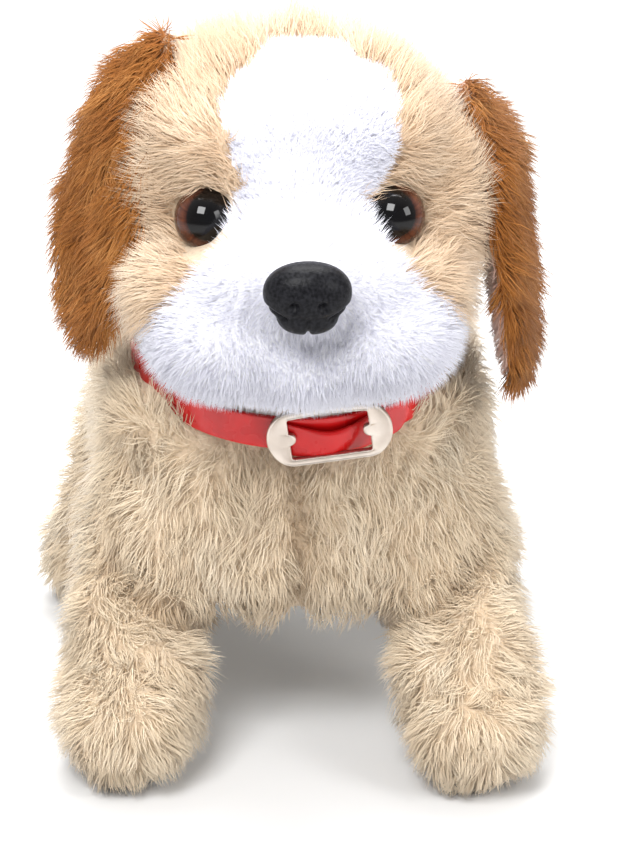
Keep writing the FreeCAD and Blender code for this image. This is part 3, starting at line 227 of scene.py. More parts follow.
def stuffed(obj, held, cap):
    """Swells a skin like stuffing does: cloth under pressure, pinned where held is 1."""
    before = points_of(obj.data)
    group = obj.vertex_groups.new(name="seams")
    for index, weight in enumerate(held(before)):
        if weight > 0.02:
            group.add([index], float(weight), "REPLACE")
    cloth = obj.modifiers.new("stuffing", "CLOTH")
    cloth.settings.use_pressure = True
    cloth.settings.uniform_pressure_force = STUFFING_PRESSURE
    cloth.settings.vertex_group_mass = "seams"
    cloth.settings.effector_weights.gravity = 0.0
    cloth.collision_settings.use_collision = False
    cloth.point_cache.frame_start = 1
    cloth.point_cache.frame_end = STUFFING_FRAMES
    for number in range(1, STUFFING_FRAMES + 1):
        bpy.context.scene.frame_set(number)
    applied(obj)
    bpy.context.scene.frame_set(1)
    obj.vertex_groups.clear()
    moved = points_of(obj.data) - before
    far = np.linalg.norm(moved, axis=1, keepdims=True)
    set_points(obj.data, before + moved * np.minimum(1, cap / np.maximum(far, 1e-6)))
    return obj


# ---------------------------------------------------------------- node materials

def material_with(name, settings):
    """A new node material; settings go on the shader's own sockets."""
    material = bpy.data.materials.new(name)
    material.use_nodes = True
    shader = material.node_tree.nodes["Principled BSDF"]
    for socket, value in settings.items():
        shader.inputs[socket].default_value = value
    return material, material.node_tree, shader


def add_node(tree, kind, inputs=None, **properties):
    node = tree.nodes.new("ShaderNode" + kind)
    for key, value in properties.items():
        setattr(node, key, value)
    for socket, value in (inputs or {}).items():
        if isinstance(value, bpy.types.NodeSocket):
            tree.links.new(value, node.inputs[socket])
        else:
            node.inputs[socket].default_value = value
    return node


def colour_ramp(tree, factor, stops):
    """A colour that runs through stops, each a place and a linear colour."""
    node = add_node(tree, "ValToRGB", {"Fac": factor})
    elements = node.color_ramp.elements
    while len(elements) < len(stops):
        elements.new(0.5)
    for element, (place, colour) in zip(elements, stops):
        element.position = place
        element.color = (*colour, 1.0)
    return node.outputs["Color"]


def multiplied(tree, one, other, amount=1.0):
    node = add_node(tree, "Mix", data_type="RGBA", blend_type="MULTIPLY")
    node.inputs[0].default_value = amount
    tree.links.new(one, node.inputs[6])
    tree.links.new(other, node.inputs[7])
    return node.outputs[2]


def own_coordinates(tree):
    return add_node(tree, "TexCoord").outputs["Object"]


def noise(tree, scale, detail=3.0, vector=None):
    """Noise in the object's own coordinates; scale is per metre."""
    if vector is None:
        vector = own_coordinates(tree)
    node = add_node(tree, "TexNoise", {"Vector": vector, "Scale": scale, "Detail": detail})
    return node.outputs["Fac"]


def bump(tree, shader, height, strength, distance_mm):
    node = add_node(tree, "Bump", {"Height": height, "Strength": strength,
                                   "Distance": distance_mm * MM})
    tree.links.new(node.outputs["Normal"], shader.inputs["Normal"])


def mottled(tree, shader, factor, dark, light, low=0.3, high=0.7):
    """Base colour between two shades, following a noise."""
    tree.links.new(colour_ramp(tree, factor, [(low, dark), (high, light)]), shader.inputs["Base Color"])


def uneven_gloss(tree, shader, factor, smooth, rough):
    """Roughness between two values, following a noise."""
    gloss = add_node(tree, "MapRange", {"Value": factor, "To Min": smooth, "To Max": rough})
    tree.links.new(gloss.outputs["Result"], shader.inputs["Roughness"])


def fur_material(name, strand_stops, root_stops, sheen):
    """Each strand has its own shade, and gets paler from root to tip."""
    material, tree, shader = material_with(name, {
        "Roughness": 0.78, "Sheen Weight": sheen, "Sheen Roughness": 0.45,
        "Specular IOR Level": 0.15})
    uv = add_node(tree, "UVMap", uv_map=FUR_UV)
    parts = add_node(tree, "SeparateXYZ", {"Vector": uv.outputs["UV"]})
    shade = colour_ramp(tree, parts.outputs["X"], strand_stops)
    along = colour_ramp(tree, parts.outputs["Y"], root_stops)
    tree.links.new(multiplied(tree, shade, along), shader.inputs["Base Color"])
    return material


def backing_material(name, dark, light):
    """Knitted backing cloth under the pile."""
    material, tree, shader = material_with(name, {"Roughness": 0.9, "Sheen Weight": 0.3})
    patches = noise(tree, 90.0)
    colour = colour_ramp(tree, patches, [(0.3, dark), (0.7, light)])
    knit = add_node(tree, "TexVoronoi", {"Vector": own_coordinates(tree), "Scale": 1100.0})
    dimmed = colour_ramp(tree, knit.outputs["Distance"], [(0.0, (0.7, 0.7, 0.7)), (0.6, (1, 1, 1))])
    tree.links.new(multiplied(tree, colour, dimmed, 0.6), shader.inputs["Base Color"])
    bump(tree, shader, knit.outputs["Distance"], 0.5, 0.3)
    return material


def moulded_material(name, dark, light, roughness, grain_per_m=900.0, metallic=0.0, coat=0.0):
    """Plastic or metal with faint mottling, fine grain and uneven gloss."""
    material, tree, shader = material_with(name, {"Metallic": metallic, "Coat Weight": coat,
                                                  "Coat Roughness": 0.12})
    mottled(tree, shader, noise(tree, 60.0, 4.0), dark, light)
    grain = noise(tree, grain_per_m, 2.0)
    uneven_gloss(tree, shader, grain, roughness - 0.06, roughness + 0.08)
    bump(tree, shader, grain, 0.25, 0.08)
    return material


def board_material():
    """Green solder mask with paler copper tracks under it."""
    material, tree, shader = material_with("board_green", {"Roughness": 0.35, "Coat Weight": 0.3})
    tracks = add_node(tree, "TexBrick", {
        "Vector": own_coordinates(tree), "Scale": 260.0, "Mortar Size": 0.035,
        "Color1": (0.01, 0.09, 0.03, 1), "Color2": (0.012, 0.11, 0.035, 1), "Mortar": (0.03, 0.2, 0.07, 1)})
    tree.links.new(tracks.outputs["Color"], shader.inputs["Base Color"])
    bump(tree, shader, tracks.outputs["Fac"], 0.3, 0.05)
    return material


def cell_material():
    """A plain dry cell's jacket: dark with one coppery band towards the button."""
    material, tree, shader = material_with("cell_jacket", {"Metallic": 0.6, "Coat Weight": 0.6})
    parts = add_node(tree, "SeparateXYZ", {"Vector": own_coordinates(tree)})
    band = add_node(tree, "MapRange", {"Value": parts.outputs["Y"], "From Min": 0.008,
                                       "From Max": 0.0085})
    colour = colour_ramp(tree, band.outputs["Result"],
                         [(0.0, (0.02, 0.022, 0.028)), (1.0, (0.42, 0.2, 0.07))])
    tree.links.new(colour, shader.inputs["Base Color"])
    uneven_gloss(tree, shader, noise(tree, 700.0), 0.22, 0.4)
    return material


# ---------------------------------------------------------------- fur

def scattered(skin, count, seed, weight):
    """Roots and normals spread over a skin, denser where weight(points, normals) is higher."""
    mesh = skin.data
    mesh.calc_loop_triangles()
    corners = np.empty(len(mesh.loop_triangles) * 3, np.int32)
    mesh.loop_triangles.foreach_get("vertices", corners)
    corners = corners.reshape(-1, 3)
    points, normals = points_of(mesh)[corners], normals_of(mesh)[corners]
    area = np.linalg.norm(np.cross(points[:, 1] - points[:, 0], points[:, 2] - points[:, 0]), axis=1)
    chance = area * weight(points.mean(axis=1), unit(normals.mean(axis=1)))
    dice = np.random.default_rng(seed)
    picked = dice.choice(len(corners), size=count, p=chance / chance.sum())
    u, v = dice.random((2, count))
    folded = u + v > 1
    u[folded], v[folded] = 1 - u[folded], 1 - v[folded]
    shares = np.stack([1 - u - v, u, v], axis=1)[:, :, None]
    return (points[picked] * shares).sum(axis=1), unit((normals[picked] * shares).sum(axis=1))


def gathered(roots, tips, spacing, area, pull, seed):
    """Draws the tips of neighbouring strands together into tufts."""
    dice = np.random.default_rng(seed)
    tufts = max(8, int(area / spacing ** 2))
    leaders = dice.choice(len(roots), size=min(tufts, len(roots)), replace=False)
    tree = kdtree.KDTree(len(leaders))
    for index, leader in enumerate(leaders):
        tree.insert(roots[leader], index)
    tree.balance()
    nearest = leaders[[tree.find(root)[1] for root in roots]]
    strength = pull * dice.uniform(0.5, 1.0, len(leaders))[np.searchsorted(np.sort(leaders), nearest)]
    return (tips[nearest] - tips) * strength[:, None]


def strand_mesh(name, roots, normals, middles, tips, width, shade):
    """One mesh of closed three-sided needles that taper from root to tip.

    Their normals lean towards the skin's, so that a coat is lit as one soft mass.
    """
    count = len(roots)
    run = unit(middles - roots)
    sideways = unit(np.cross(run, np.array([0.31, 0.52, 0.79])))
    across = np.cross(run, sideways)
    points = np.empty((count, 7, 3))
    leaning = np.repeat(normals[:, None, :] * SOFT_LIGHT, 7, axis=1)
    for corner in range(3):
        angle = 2 * math.pi * corner / 3
        offset = (sideways * math.cos(angle) + across * math.sin(angle)) * width[:, None]
        points[:, corner] = roots - run * 0.4 + offset
        points[:, corner + 3] = middles + offset * 0.8
        leaning[:, [corner, corner + 3]] += unit(offset)[:, None, :]
    points[:, 6] = tips
    sides = [(0, 1, 4, 3), (1, 2, 5, 4), (2, 0, 3, 5), (3, 4, 6), (4, 5, 6), (5, 3, 6), (2, 1, 0)]
    pattern = np.array([i for side in sides for i in side])
    starts = np.cumsum([0] + [len(side) for side in sides[:-1]])
    height = np.array([0.02] * 3 + [0.55] * 3 + [0.98])

    mesh = bpy.data.meshes.new(name)
    mesh.vertices.add(count * 7)
    mesh.vertices.foreach_set("co", (points * MM).ravel())
    mesh.loops.add(count * len(pattern))
    mesh.loops.foreach_set("vertex_index", (pattern + np.arange(count)[:, None] * 7).ravel())
    mesh.polygons.add(count * len(sides))
    mesh.polygons.foreach_set("loop_start", (starts + np.arange(count)[:, None] * len(pattern)).ravel())
    layer = mesh.uv_layers.new(name=FUR_UV)
    uv = np.empty((count, len(pattern), 2))
    uv[:, :, 0] = shade[:, None]
    uv[:, :, 1] = height[pattern]
    layer.uv.foreach_set("vector", uv.ravel())
    mesh.update(calc_edges=True)
    mesh.shade_smooth()
    mesh.normals_split_custom_set_from_vertices(unit(leaning).reshape(-1, 3))
    return linked(name, mesh)


class Coat:
    """How one kind of pile grows. Lengths are millimetres."""

    def __init__(self, material, length, flow, stand=0.5, spacing=3.0, pull=0.55,
                 width=0.12, wild=0.22, droop=0.35, tone=None):
        self.material = material
        self.length = length
        self.flow = flow
        self.stand = stand
        self.spacing = spacing
        self.pull = pull
        self.width = width
        self.wild = wild
        self.droop = droop
        # This function paints shade: it darkens a strand where shadow falls, and is nothing by default.
        self.tone = tone or (lambda points: np.zeros(len(points)))


def grow(name, skin, count, coat, seed, weight):
    """Covers part of a skin with strands of one coat."""
    roots, normals = scattered(skin, count, seed, weight)
    dice = np.random.default_rng(seed + 1)
    length = coat.length(roots) * dice.uniform(0.72, 1.12, count)
    flow = coat.flow(roots, normals)
    flow = unit(flow - (flow * normals).sum(axis=1, keepdims=True) * normals)
    wild = dice.normal(size=(count, 3)) * coat.wild
    start = unit(normals * coat.stand + flow * (1 - coat.stand) + wild)
    finish = unit(start + flow * coat.droop + dice.normal(size=(count, 3)) * coat.wild * 0.6)
    middles = roots + start * (length * 0.5)[:, None]
    tips = middles + finish * (length * 0.5)[:, None]
    area = sum(face.area for face in skin.data.polygons) / MM ** 2
    drawn = gathered(roots, tips, coat.spacing, area, coat.pull, seed + 2)
    middles = middles + drawn * 0.3
    tips = tips + drawn
    for points in (roots, middles, tips):
        points[:, 2] = np.maximum(points[:, 2], GROUND_GAP)
    # The ripples are the pile's own uneven colour; the coat's painted shade then darkens strands where
    # shadow falls.
    shade = 0.5 + 0.13 * ripple(roots, 16, seed) + 0.1 * ripple(roots, 5, seed + 5) + coat.tone(roots)
    shade = np.clip(shade + dice.normal(size=count) * 0.12, 0.03, 0.97)
    width = coat.width * dice.uniform(0.75, 1.25, count)
    fur = strand_mesh(name, roots, normals, middles, tips, width, shade)
    fur.data.materials.append(coat.material)
    return fur


# ---------------------------------------------------------------- the puppy's places

def corners_of(node):
    """A CAD node's lowest and highest corner, in millimetres."""
    low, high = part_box(node)
    return np.array(low) / MM, np.array(high) / MM


def middle_of(node):
    low, high = corners_of(node)
    return (low + high) / 2


SIGNS = (-1, 1)
SIDES = tuple(zip(("right", "left"), SIGNS))
DOWN = np.array([0.0, 0.0, -1.0])
NOSE = middle_of("nose")
EYE_LOW, EYE_HIGH = corners_of("eye_left")
EYE_RADIUS = (EYE_HIGH[2] - EYE_LOW[2]) / 2
EYE_SPREAD = EYE_HIGH[0] - EYE_RADIUS
EYE_Y = EYE_LOW[1] + EYE_RADIUS
EYE_Z = (EYE_HIGH[2] + EYE_LOW[2]) / 2
EYE_TURN_DEG = 14.0
COLLAR_MIDDLE = middle_of("collar_strap")
COLLAR_HALF_X, COLLAR_HALF_Y = 33.7, 34.7
COLLAR_TILT = math.radians(15.0)
COLLAR_HALF_BAND = 4.0
BUCKLE_X = middle_of("collar_buckle")[0]
FACE_Y = -38  # the face's parts are all ahead of this
NOSE_BASE_Y = -70
PATCH_FOOT_Z = 131  # the muzzle's white ends here and the forehead patch begins


def eye_middle(sign):
    return np.array([EYE_SPREAD * sign, EYE_Y, EYE_Z])


def eye_ahead(sign):
    """The way an eye looks: forwards and a little outwards."""
    turn = math.radians(EYE_TURN_DEG)
    return np.array([math.sin(turn) * sign, -math.cos(turn), 0.0])


def off_eye_axis(points, sign):
    """Distance from the line that an eye looks along."""
    away = points - eye_middle(sign)
    along = away @ eye_ahead(sign)
    return np.linalg.norm(away - along[:, None] * eye_ahead(sign), axis=1)


def clear_of_face_parts(points):
    """1 where pile may grow on the face, and 0 under the eyes and the nose."""
    keep = np.ones(len(points))
    in_front = points[:, 1] < FACE_Y
    for sign in SIGNS:
        keep *= np.where(in_front, ease(6.1, 7.3, off_eye_axis(points, sign)), 1)
    off_nose = np.hypot(points[:, 0] / 1.15, points[:, 2] - NOSE[2])
    keep *= np.where(points[:, 1] < NOSE_BASE_Y, ease(5.2, 6.6, off_nose), 1)
    return keep


def collar_frame(points):
    """Points as across, along and above the collar's own plane."""
    away = points - COLLAR_MIDDLE
    cos, sin = math.cos(COLLAR_TILT), math.sin(COLLAR_TILT)
    return away[:, 0], away[:, 1] * cos + away[:, 2] * sin, away[:, 2] * cos - away[:, 1] * sin


def on_collar_band(points, margin):
    """1 under the collar's strap and buckle, falling to 0 past a margin."""
    across, along, above = collar_frame(points)
    ring = np.abs(np.hypot(across / COLLAR_HALF_X, along / COLLAR_HALF_Y) - 1) * 34
    near_strap = (1 - ease(COLLAR_HALF_BAND, COLLAR_HALF_BAND + margin, np.abs(above)))
    strap = near_strap * (1 - ease(7.0, 10.0, ring))
    off_buckle = np.hypot((across - BUCKLE_X) / 13.5, above / 7.2)
    buckle = (1 - ease(1.0, 1.0 + margin / 8, off_buckle)) * (along < -20)
    return np.maximum(strap, buckle)


MUZZLE_HEIGHTS = [86, 92, 96, 101, 106, 111, 116, 122, 128, 132]
MUZZLE_HALF_WIDTHS = [20, 28, 32, 33, 31, 27, 22, 17.5, 12.5, 12]
PATCH_HEIGHTS = [131, 135, 140, 146, 150, 152.5]
PATCH_HALF_WIDTHS = [12.5, 14.8, 16.6, 17.2, 14.5, 7]
PATCH_ASIDE = 2.4


def white_share(points):
    """1 on the white muzzle and forehead patch, and 0 on the beige head."""
    height = points[:, 2]
    muzzle = np.interp(height, MUZZLE_HEIGHTS, MUZZLE_HALF_WIDTHS) - np.abs(points[:, 0])
    ahead = points[:, 1] < -43 - 8 * ease(106, 112, height)
    muzzle = np.where((height < 132) & ahead, muzzle, -9)
    patch = (np.interp(height, PATCH_HEIGHTS, PATCH_HALF_WIDTHS, right=-9)
             - np.abs(points[:, 0] - PATCH_ASIDE))
    patch = np.where((height >= PATCH_FOOT_Z) & (points[:, 1] < -22), patch, -9)
    edge = np.maximum(muzzle, patch) + 0.5 * ripple(points, 7, 40)
    return ease(-0.7, 0.7, edge)


# ---------------------------------------------------------------- skins

def torso_forms():
    """Body, chest and neck, with shoulders, haunches and the pads beside the neck."""
    forms = [
        oval((0, 7, 62), (40, 53, 28), 3.8),
        oval((0, -21, 54.5), (40.5, 25, 27), 2.5),
        oval((0, -19, 85), (29, 30, 13.5), 2.4),
        oval((0, -17, 88), (32, 32.5, 12.5), turn_deg=(15, 0, 0)),
    ]
    for sign in SIGNS:
        forms.append(oval((25 * sign, -25, 53), (16, 20, 20)))
        forms.append(oval((26 * sign, 34, 52), (16, 22, 22)))
        forms.append(oval((27 * sign, -23, 76), (11, 18, 10)))
    return forms


def leg_forms(sign):
    """One side's front and rear leg; the two front paws don't stand level with each other."""
    ahead = -3.5 if sign > 0 else 2.0
    front = limb((29 * sign, -27, 46), (36.5 * sign, -48 + ahead, 17), 15, 13.2)
    front.append(oval((36.8 * sign, -50.5 + ahead, 13.2), (12.8, 15.5, 11.8), 2.3))
    rear = limb((30 * sign, 33, 46), (38.5 * sign, 38, 17), 16, 14.2)
    rear.append(oval((39.8 * sign, 40, 13.2), (15.0, 15.5, 11.8), 2.3))
    return front + rear


def crease_line(points, sign):
    """Distance from the fold where the chest hangs over the top of a front leg."""
    start, end = np.array([38.0 * sign, 44.0]), np.array([14.0 * sign, 25.0])
    flat = points[:, [0, 2]]
    along = np.clip(((flat - start) @ (end - start)) / ((end - start) @ (end - start)), 0, 1)
    return np.linalg.norm(flat - (start + along[:, None] * (end - start)), axis=1)


def torso_seams(points):
    """1 along the chest seam, the folds over the front legs and the back seam."""
    front = points[:, 1] < -30
    held = hill(points[:, 0], 1.6) * (front | (points[:, 2] > 80))
    for sign in SIGNS:
        held = np.maximum(held, hill(crease_line(points, sign), 2.5) * front)
    held = np.maximum(held, (points[:, 2] < 4) * 1.0)
    return held


def torso_creases(points, normals):
    """Draws in the seams and folds and leaves soft lumps of stuffing between them."""
    front = ease(-30, -38, points[:, 1])
    depth = 3.6 * hill(points[:, 0], 3.0) * front * ease(28, 36, points[:, 2])
    for sign in SIGNS:
        depth = depth + 5.6 * hill(crease_line(points, sign), 4.5) * front
        behind = hill(np.hypot(points[:, 0] - 34 * sign, points[:, 2] - 36) - 12, 4.0)
        depth = depth + 1.0 * behind * ease(10, 20, points[:, 1])
    lumps = 0.7 * ripple(points, 26, 3) + 0.3 * ripple(points, 11, 4)
    return normals * (lumps - depth)[:, None]


def head_forms():
    """Skull, bridge of the nose and chin, with cheeks, brows and a muzzle pad on each side."""
    forms = [
        oval((0, -26, 124.5), (32, 28.5, 28), 2.9),
        oval((0, -59, 116), (12.5, 17.5, 12.5)),
        oval((0, -67, 116.5), (10.5, 11.5, 9)),
        oval((0, -49, 130), (13, 9.5, 9)),
        oval((0, -58, 99.5), (19, 17, 9)),
    ]
    for sign in SIGNS:
        forms.append(oval((17 * sign, -40, 108), (15.5, 17, 13)))
        forms.append(oval((15.5 * sign, -43, 138), (12, 9.5, 8.5)))
        forms.append(oval((14 * sign, -58, 103.5), (16.5, 17.5, 11), 2.3))
        forms.append(oval((10.5 * sign, -57, 115), (13.5, 15.5, 12.5)))
        forms.append(oval((19 * sign, -53, 110.5), (13, 15.5, 10.5)))
    left_cheek = oval((26.5, -36, 121), (10.5, 14, 18))
    return forms + [left_cheek]


def head_seams(points):
    """1 under the eyes and nose and along the seam round the white muzzle."""
    held = 1 - clear_of_face_parts(points)
    white = white_share(points)
    return np.maximum(held, np.clip(4 * white * (1 - white), 0, 1) * 0.8)


def head_dents(points, normals):
    """Eye sockets, the seam round the muzzle and soft lumps."""
    depth = np.zeros(len(points))
    for sign in SIGNS:
        near = hill(off_eye_axis(points, sign), 6.5) * (points[:, 1] < FACE_Y)
        depth = depth + 2.2 * near
    white = white_share(points)
    depth = depth + 0.9 * np.clip(4 * white * (1 - white), 0, 1)
    lumps = 0.6 * ripple(points, 22, 13) + 0.25 * ripple(points, 9, 14)
    return normals * (lumps * (1 - 0.7 * white) - depth)[:, None]


# ---------------------------------------------------------------- splitting and hollowing

LEG_CUTS = {
    "front": (np.array([15.0, -45.0, 33.0]), np.array([0.50, -0.40, -0.77])),
    "rear": (np.array([20.0, 36.0, 33.0]), np.array([0.50, 0.40, -0.77])),
}


def mirrored(vector, sign):
    return np.array([vector[0] * sign, vector[1], vector[2]])


def in_leg_quarter(points, leg, sign):
    fore = points[:, 1] < 5
    return (points[:, 0] * sign > 0) & (fore if leg == "front" else ~fore)


def beyond_leg_cut(points, leg, sign):
    """True for points that belong to a leg."""
    place, normal = LEG_CUTS[leg]
    past = (points - mirrored(place, sign)) @ mirrored(normal, sign) > 0
    return past & in_leg_quarter(points, leg, sign)


def face_middles(bm):
    return np.array([face.calc_center_median() for face in bm.faces]) / MM


def cut_along_leg(bm, leg, sign):
    """Adds edges where the leg's plane crosses its quarter of the skin."""
    place, normal = LEG_CUTS[leg]
    chosen = in_leg_quarter(face_middles(bm), leg, sign)
    bm.faces.ensure_lookup_table()
    faces = [bm.faces[i] for i in np.flatnonzero(chosen)]
    edges = {edge for face in faces for edge in face.edges}
    verts = {vert for face in faces for vert in face.verts}
    bmesh.ops.bisect_plane(bm, geom=faces + list(edges) + list(verts),
                           plane_co=Vector(mirrored(place, sign) * MM),
                           plane_no=Vector(unit(mirrored(normal, sign))))


def kept_and_closed(source, keep, name):
    """A copy of a skin with only the faces that keep marks, its cut edge closed."""
    bm = source.copy()
    bm.faces.ensure_lookup_table()
    lost = [bm.faces[i] for i in np.flatnonzero(~keep)]
    bmesh.ops.delete(bm, geom=lost, context="FACES")
    rim = [edge for edge in bm.edges if edge.is_boundary]
    bmesh.ops.holes_fill(bm, edges=rim, sides=0)
    bmesh.ops.triangulate(bm, faces=[face for face in bm.faces if len(face.verts) > 4])
    mesh = bpy.data.meshes.new(name)
    bm.to_mesh(mesh)
    bm.free()
    mesh.shade_smooth()
    return linked(name, mesh)


def split_legs(skin):
    """Turns the one skin into a torso and four legs that meet exactly."""
    whole = bmesh.new()
    whole.from_mesh(skin.data)
    names = [(leg, side, sign) for leg in LEG_CUTS for side, sign in SIDES]
    for leg, side, sign in names:
        cut_along_leg(whole, leg, sign)
    middles = face_middles(whole)
    rest = np.ones(len(middles), bool)
    pieces = {}
    for leg, side, sign in names:
        mine = beyond_leg_cut(middles, leg, sign)
        rest &= ~mine
        pieces[f"{leg}_{side}"] = kept_and_closed(whole, mine, f"skin_{leg}_{side}_leg")
    pieces["torso"] = kept_and_closed(whole, rest, "skin_torso")
    whole.free()
    bpy.data.objects.remove(skin)
    return pieces


def hollowed(skin, low, high):
    """Cuts a box-shaped room out of a skin; its corners are in millimetres."""
    bm = bmesh.new()
    bmesh.ops.create_cube(bm, size=1.0)
    size, middle = np.array(high) - np.array(low), (np.array(high) + np.array(low)) / 2
    for vert in bm.verts:
        vert.co = Vector((np.array(vert.co) * size + middle) * MM)
    mesh = bpy.data.meshes.new("room")
    bm.to_mesh(mesh)
    bm.free()
    tool = linked("room", mesh)
    room = skin.modifiers.new("room", "BOOLEAN")
    room.operation = "DIFFERENCE"
    room.solver = "EXACT"
    room.object = tool
    applied(skin)
    bpy.data.objects.remove(tool)
    return skin


# ---------------------------------------------------------------- ears and tail

EARS = {
    "right": {"sign": -1, "shift": (5.5, -4.0, 3.0), "lean_deg": 12.0, "facing_deg": -24.0},
    "left": {"sign": 1, "shift": (0.0, -3.0, -0.5), "lean_deg": 6.0, "facing_deg": -11.0},
}
EAR_HALF = (2.4, 16.5, 33.0)


def ear_skin(side):
    """A flat stuffed flap: narrow where it is sewn on, widest below its middle."""
    ear = EARS[side]
    sign = ear["sign"]
    points, faces = oval((0, 0, 0), EAR_HALF, 2.4)
    height = points[:, 2] / EAR_HALF[2]
    points[:, 1] *= np.interp(height, [-1, -0.6, -0.1, 0.6, 1], [0.85, 1.08, 1.12, 0.86, 0.75])
    points[:, 0] -= sign * 5.0 * ease(0.45, 1.0, height)
    points[:, 0] += sign * 1.6 * (points[:, 1] / EAR_HALF[1]) ** 2 * ease(0.2, -0.6, height)
    turn = Euler((0, -math.radians(ear["lean_deg"]) * sign, math.radians(ear["facing_deg"]) * sign))
    points = points @ np.array(turn.to_matrix()).T + middle_of(f"ear_{side}") + ear["shift"]
    return welded(f"skin_ear_{side}", [(points, faces)], 1.1, 6)


def outward_on_ear(normals, side):
    """How much a point of an ear faces away from the head, from -1 to 1."""
    ear = EARS[side]
    turn = math.radians(ear["facing_deg"])
    away = np.array([math.cos(turn) * ear["sign"], math.sin(turn), 0.15])
    return normals @ (away / np.linalg.norm(away))


def tail_skin():
    """A short tail that bends upwards."""
    forms = limb((0, 57, 70), (0, 74, 78), 6.0, 6.2) + limb((0, 74, 78), (0, 78, 95), 6.2, 4.2)
    return welded("skin_tail", forms, 1.4, 8)


# ---------------------------------------------------------------- eyes and nose

def turned_form(profile, segments=64):
    """A closed form turned about z from (radius, height) pairs that start and end on the axis."""
    points = [(0.0, 0.0, profile[0][1])]
    for radius, height in profile[1:-1]:
        for step in range(segments):
            angle = 2 * math.pi * step / segments
            points.append((radius * math.cos(angle), radius * math.sin(angle), height))
    points.append((0.0, 0.0, profile[-1][1]))
    last = len(points) - 1
    rings = len(profile) - 2
    faces = []
    for step in range(segments):
        after = (step + 1) % segments
        faces.append((0, 1 + after, 1 + step))
        for ring in range(rings - 1):
            low, high = 1 + ring * segments, 1 + (ring + 1) * segments
            faces.append((low + step, low + after, high + after, high + step))
        top = 1 + (rings - 1) * segments
        faces.append((last, top + step, top + after))
    return np.array(points), faces


def facing(direction):
    """The turn that points an object's own z along a direction."""
    return Vector(direction).to_track_quat("Z", "Y").to_matrix().to_4x4()


PUPIL_INWARD, PUPIL_UPWARD = 2.2, 2.0


def eye_material(side, sign):
    """Black pupil in a brown ring that darkens to the rim, under a glossy coat.

    Through the thick dome the pupil looks a little higher and nearer to the nose than it is.
    """
    material, tree, shader = material_with(f"eye_gloss_{side}", {
        "Roughness": 0.05, "Coat Weight": 0.1, "Coat Roughness": 0.02, "IOR": 1.45,
        "Specular IOR Level": 0.28})
    shift = (PUPIL_INWARD * MM * sign, -PUPIL_UPWARD * MM, 0.0)
    shifted = add_node(tree, "VectorMath", {0: own_coordinates(tree), 1: shift}, operation="ADD")
    flat = add_node(tree, "VectorMath", {0: shifted.outputs["Vector"], 1: (1.0, 1.0, 0.0)},
                    operation="MULTIPLY")
    radius = add_node(tree, "VectorMath", {0: flat.outputs["Vector"]}, operation="LENGTH")
    share = add_node(tree, "MapRange", {"Value": radius.outputs["Value"],
                                        "From Max": 1.5 * EYE_RADIUS * MM})
    rings = colour_ramp(tree, share.outputs["Result"], [
        (0.0, (0.002, 0.002, 0.003)), (0.5, (0.003, 0.002, 0.002)), (0.54, (0.045, 0.012, 0.006)),
        (0.62, (0.11, 0.03, 0.012)), (0.8, (0.075, 0.02, 0.009)), (1.0, (0.02, 0.007, 0.005))])
    direction = add_node(tree, "VectorMath", {0: flat.outputs["Vector"]}, operation="NORMALIZE")
    fibres = noise(tree, 9.0, 4.0, direction.outputs["Vector"])
    dimmed = colour_ramp(tree, fibres, [(0.3, (0.45, 0.4, 0.4)), (0.7, (1.0, 1.0, 1.0))])
    tree.links.new(multiplied(tree, rings, dimmed), shader.inputs["Base Color"])
    return material


def make_eyes():
    """Two moulded domes, each with a thin rim and a flat back."""
    profile = [(0, -0.9), (5.0, -0.9), (6.25, -0.7), (6.42, -0.25), (6.4, 0.15)]
    for step in range(1, 15):
        angle = math.radians(90 * step / 15)
        profile.append((EYE_RADIUS * math.cos(angle) + 0.03, EYE_RADIUS * math.sin(angle)))
    profile.append((0, EYE_RADIUS))
    for side, sign in SIDES:
        eye = mesh_object(f"eye_dome_{side}", *turned_form(profile))
        place = Matrix.Translation(Vector(eye_middle(sign) * MM))
        eye.matrix_world = place @ facing(eye_ahead(sign))
        eye.data.materials.append(eye_material(side, sign))
        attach(eye, "head")
        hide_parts(f"eye_{side}", f"eye_disc_{side}")


def nose_material():
    """Black plastic with a satin grain."""
    material, tree, shader = material_with("nose_satin", {
        "Coat Weight": 0.0, "Specular IOR Level": 0.09})
    grain = noise(tree, 1500.0, 2.0)
    mottled(tree, shader, grain, (0.004, 0.004, 0.005), (0.016, 0.016, 0.019), 0.35, 0.75)
    uneven_gloss(tree, shader, grain, 0.24, 0.5)
    bump(tree, shader, grain, 0.55, 0.18)
    return material


def nose_dents(points, normals):
    """Nostrils, the groove under them and a crease to each side."""
    x, height = points[:, 0], points[:, 2] - NOSE[2]
    ahead = points[:, 1] < -78
    off_nostrils = [np.hypot(x - 2.8 * sign, height + 0.6) for sign in SIGNS]
    nostrils = sum(hill(off, 0.95) for off in off_nostrils)
    rims = sum(hill(off - 1.45, 0.5) for off in off_nostrils)
    groove = hill(x, 0.42) * ease(-2.6, -4.0, height)
    creases = sum(hill(height + 3.2 - 0.55 * (x * sign - 5), 0.42) * ease(3.4, 4.6, x * sign)
                  for sign in SIGNS)
    change = 0.18 * rims - 1.3 * nostrils - 0.8 * groove - 0.7 * creases
    return normals * (ahead * change)[:, None]


def make_nose():
    forms = [
        oval((0, -80.3, 119.2), (8.7, 5.6, 6.1), 2.15),
        oval((0, -79.7, 115.3), (6.2, 5.0, 4.5), 2.5),
        oval((0, -76.0, 118.5), (5.5, 4.0, 5.0)),
    ]
    nose = welded("nose_button", forms, 0.35, 8)
    reshape(nose, nose_dents)
    nose.data.materials.append(nose_material())
    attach(nose, "head")
    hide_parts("nose")


# ---------------------------------------------------------------- collar

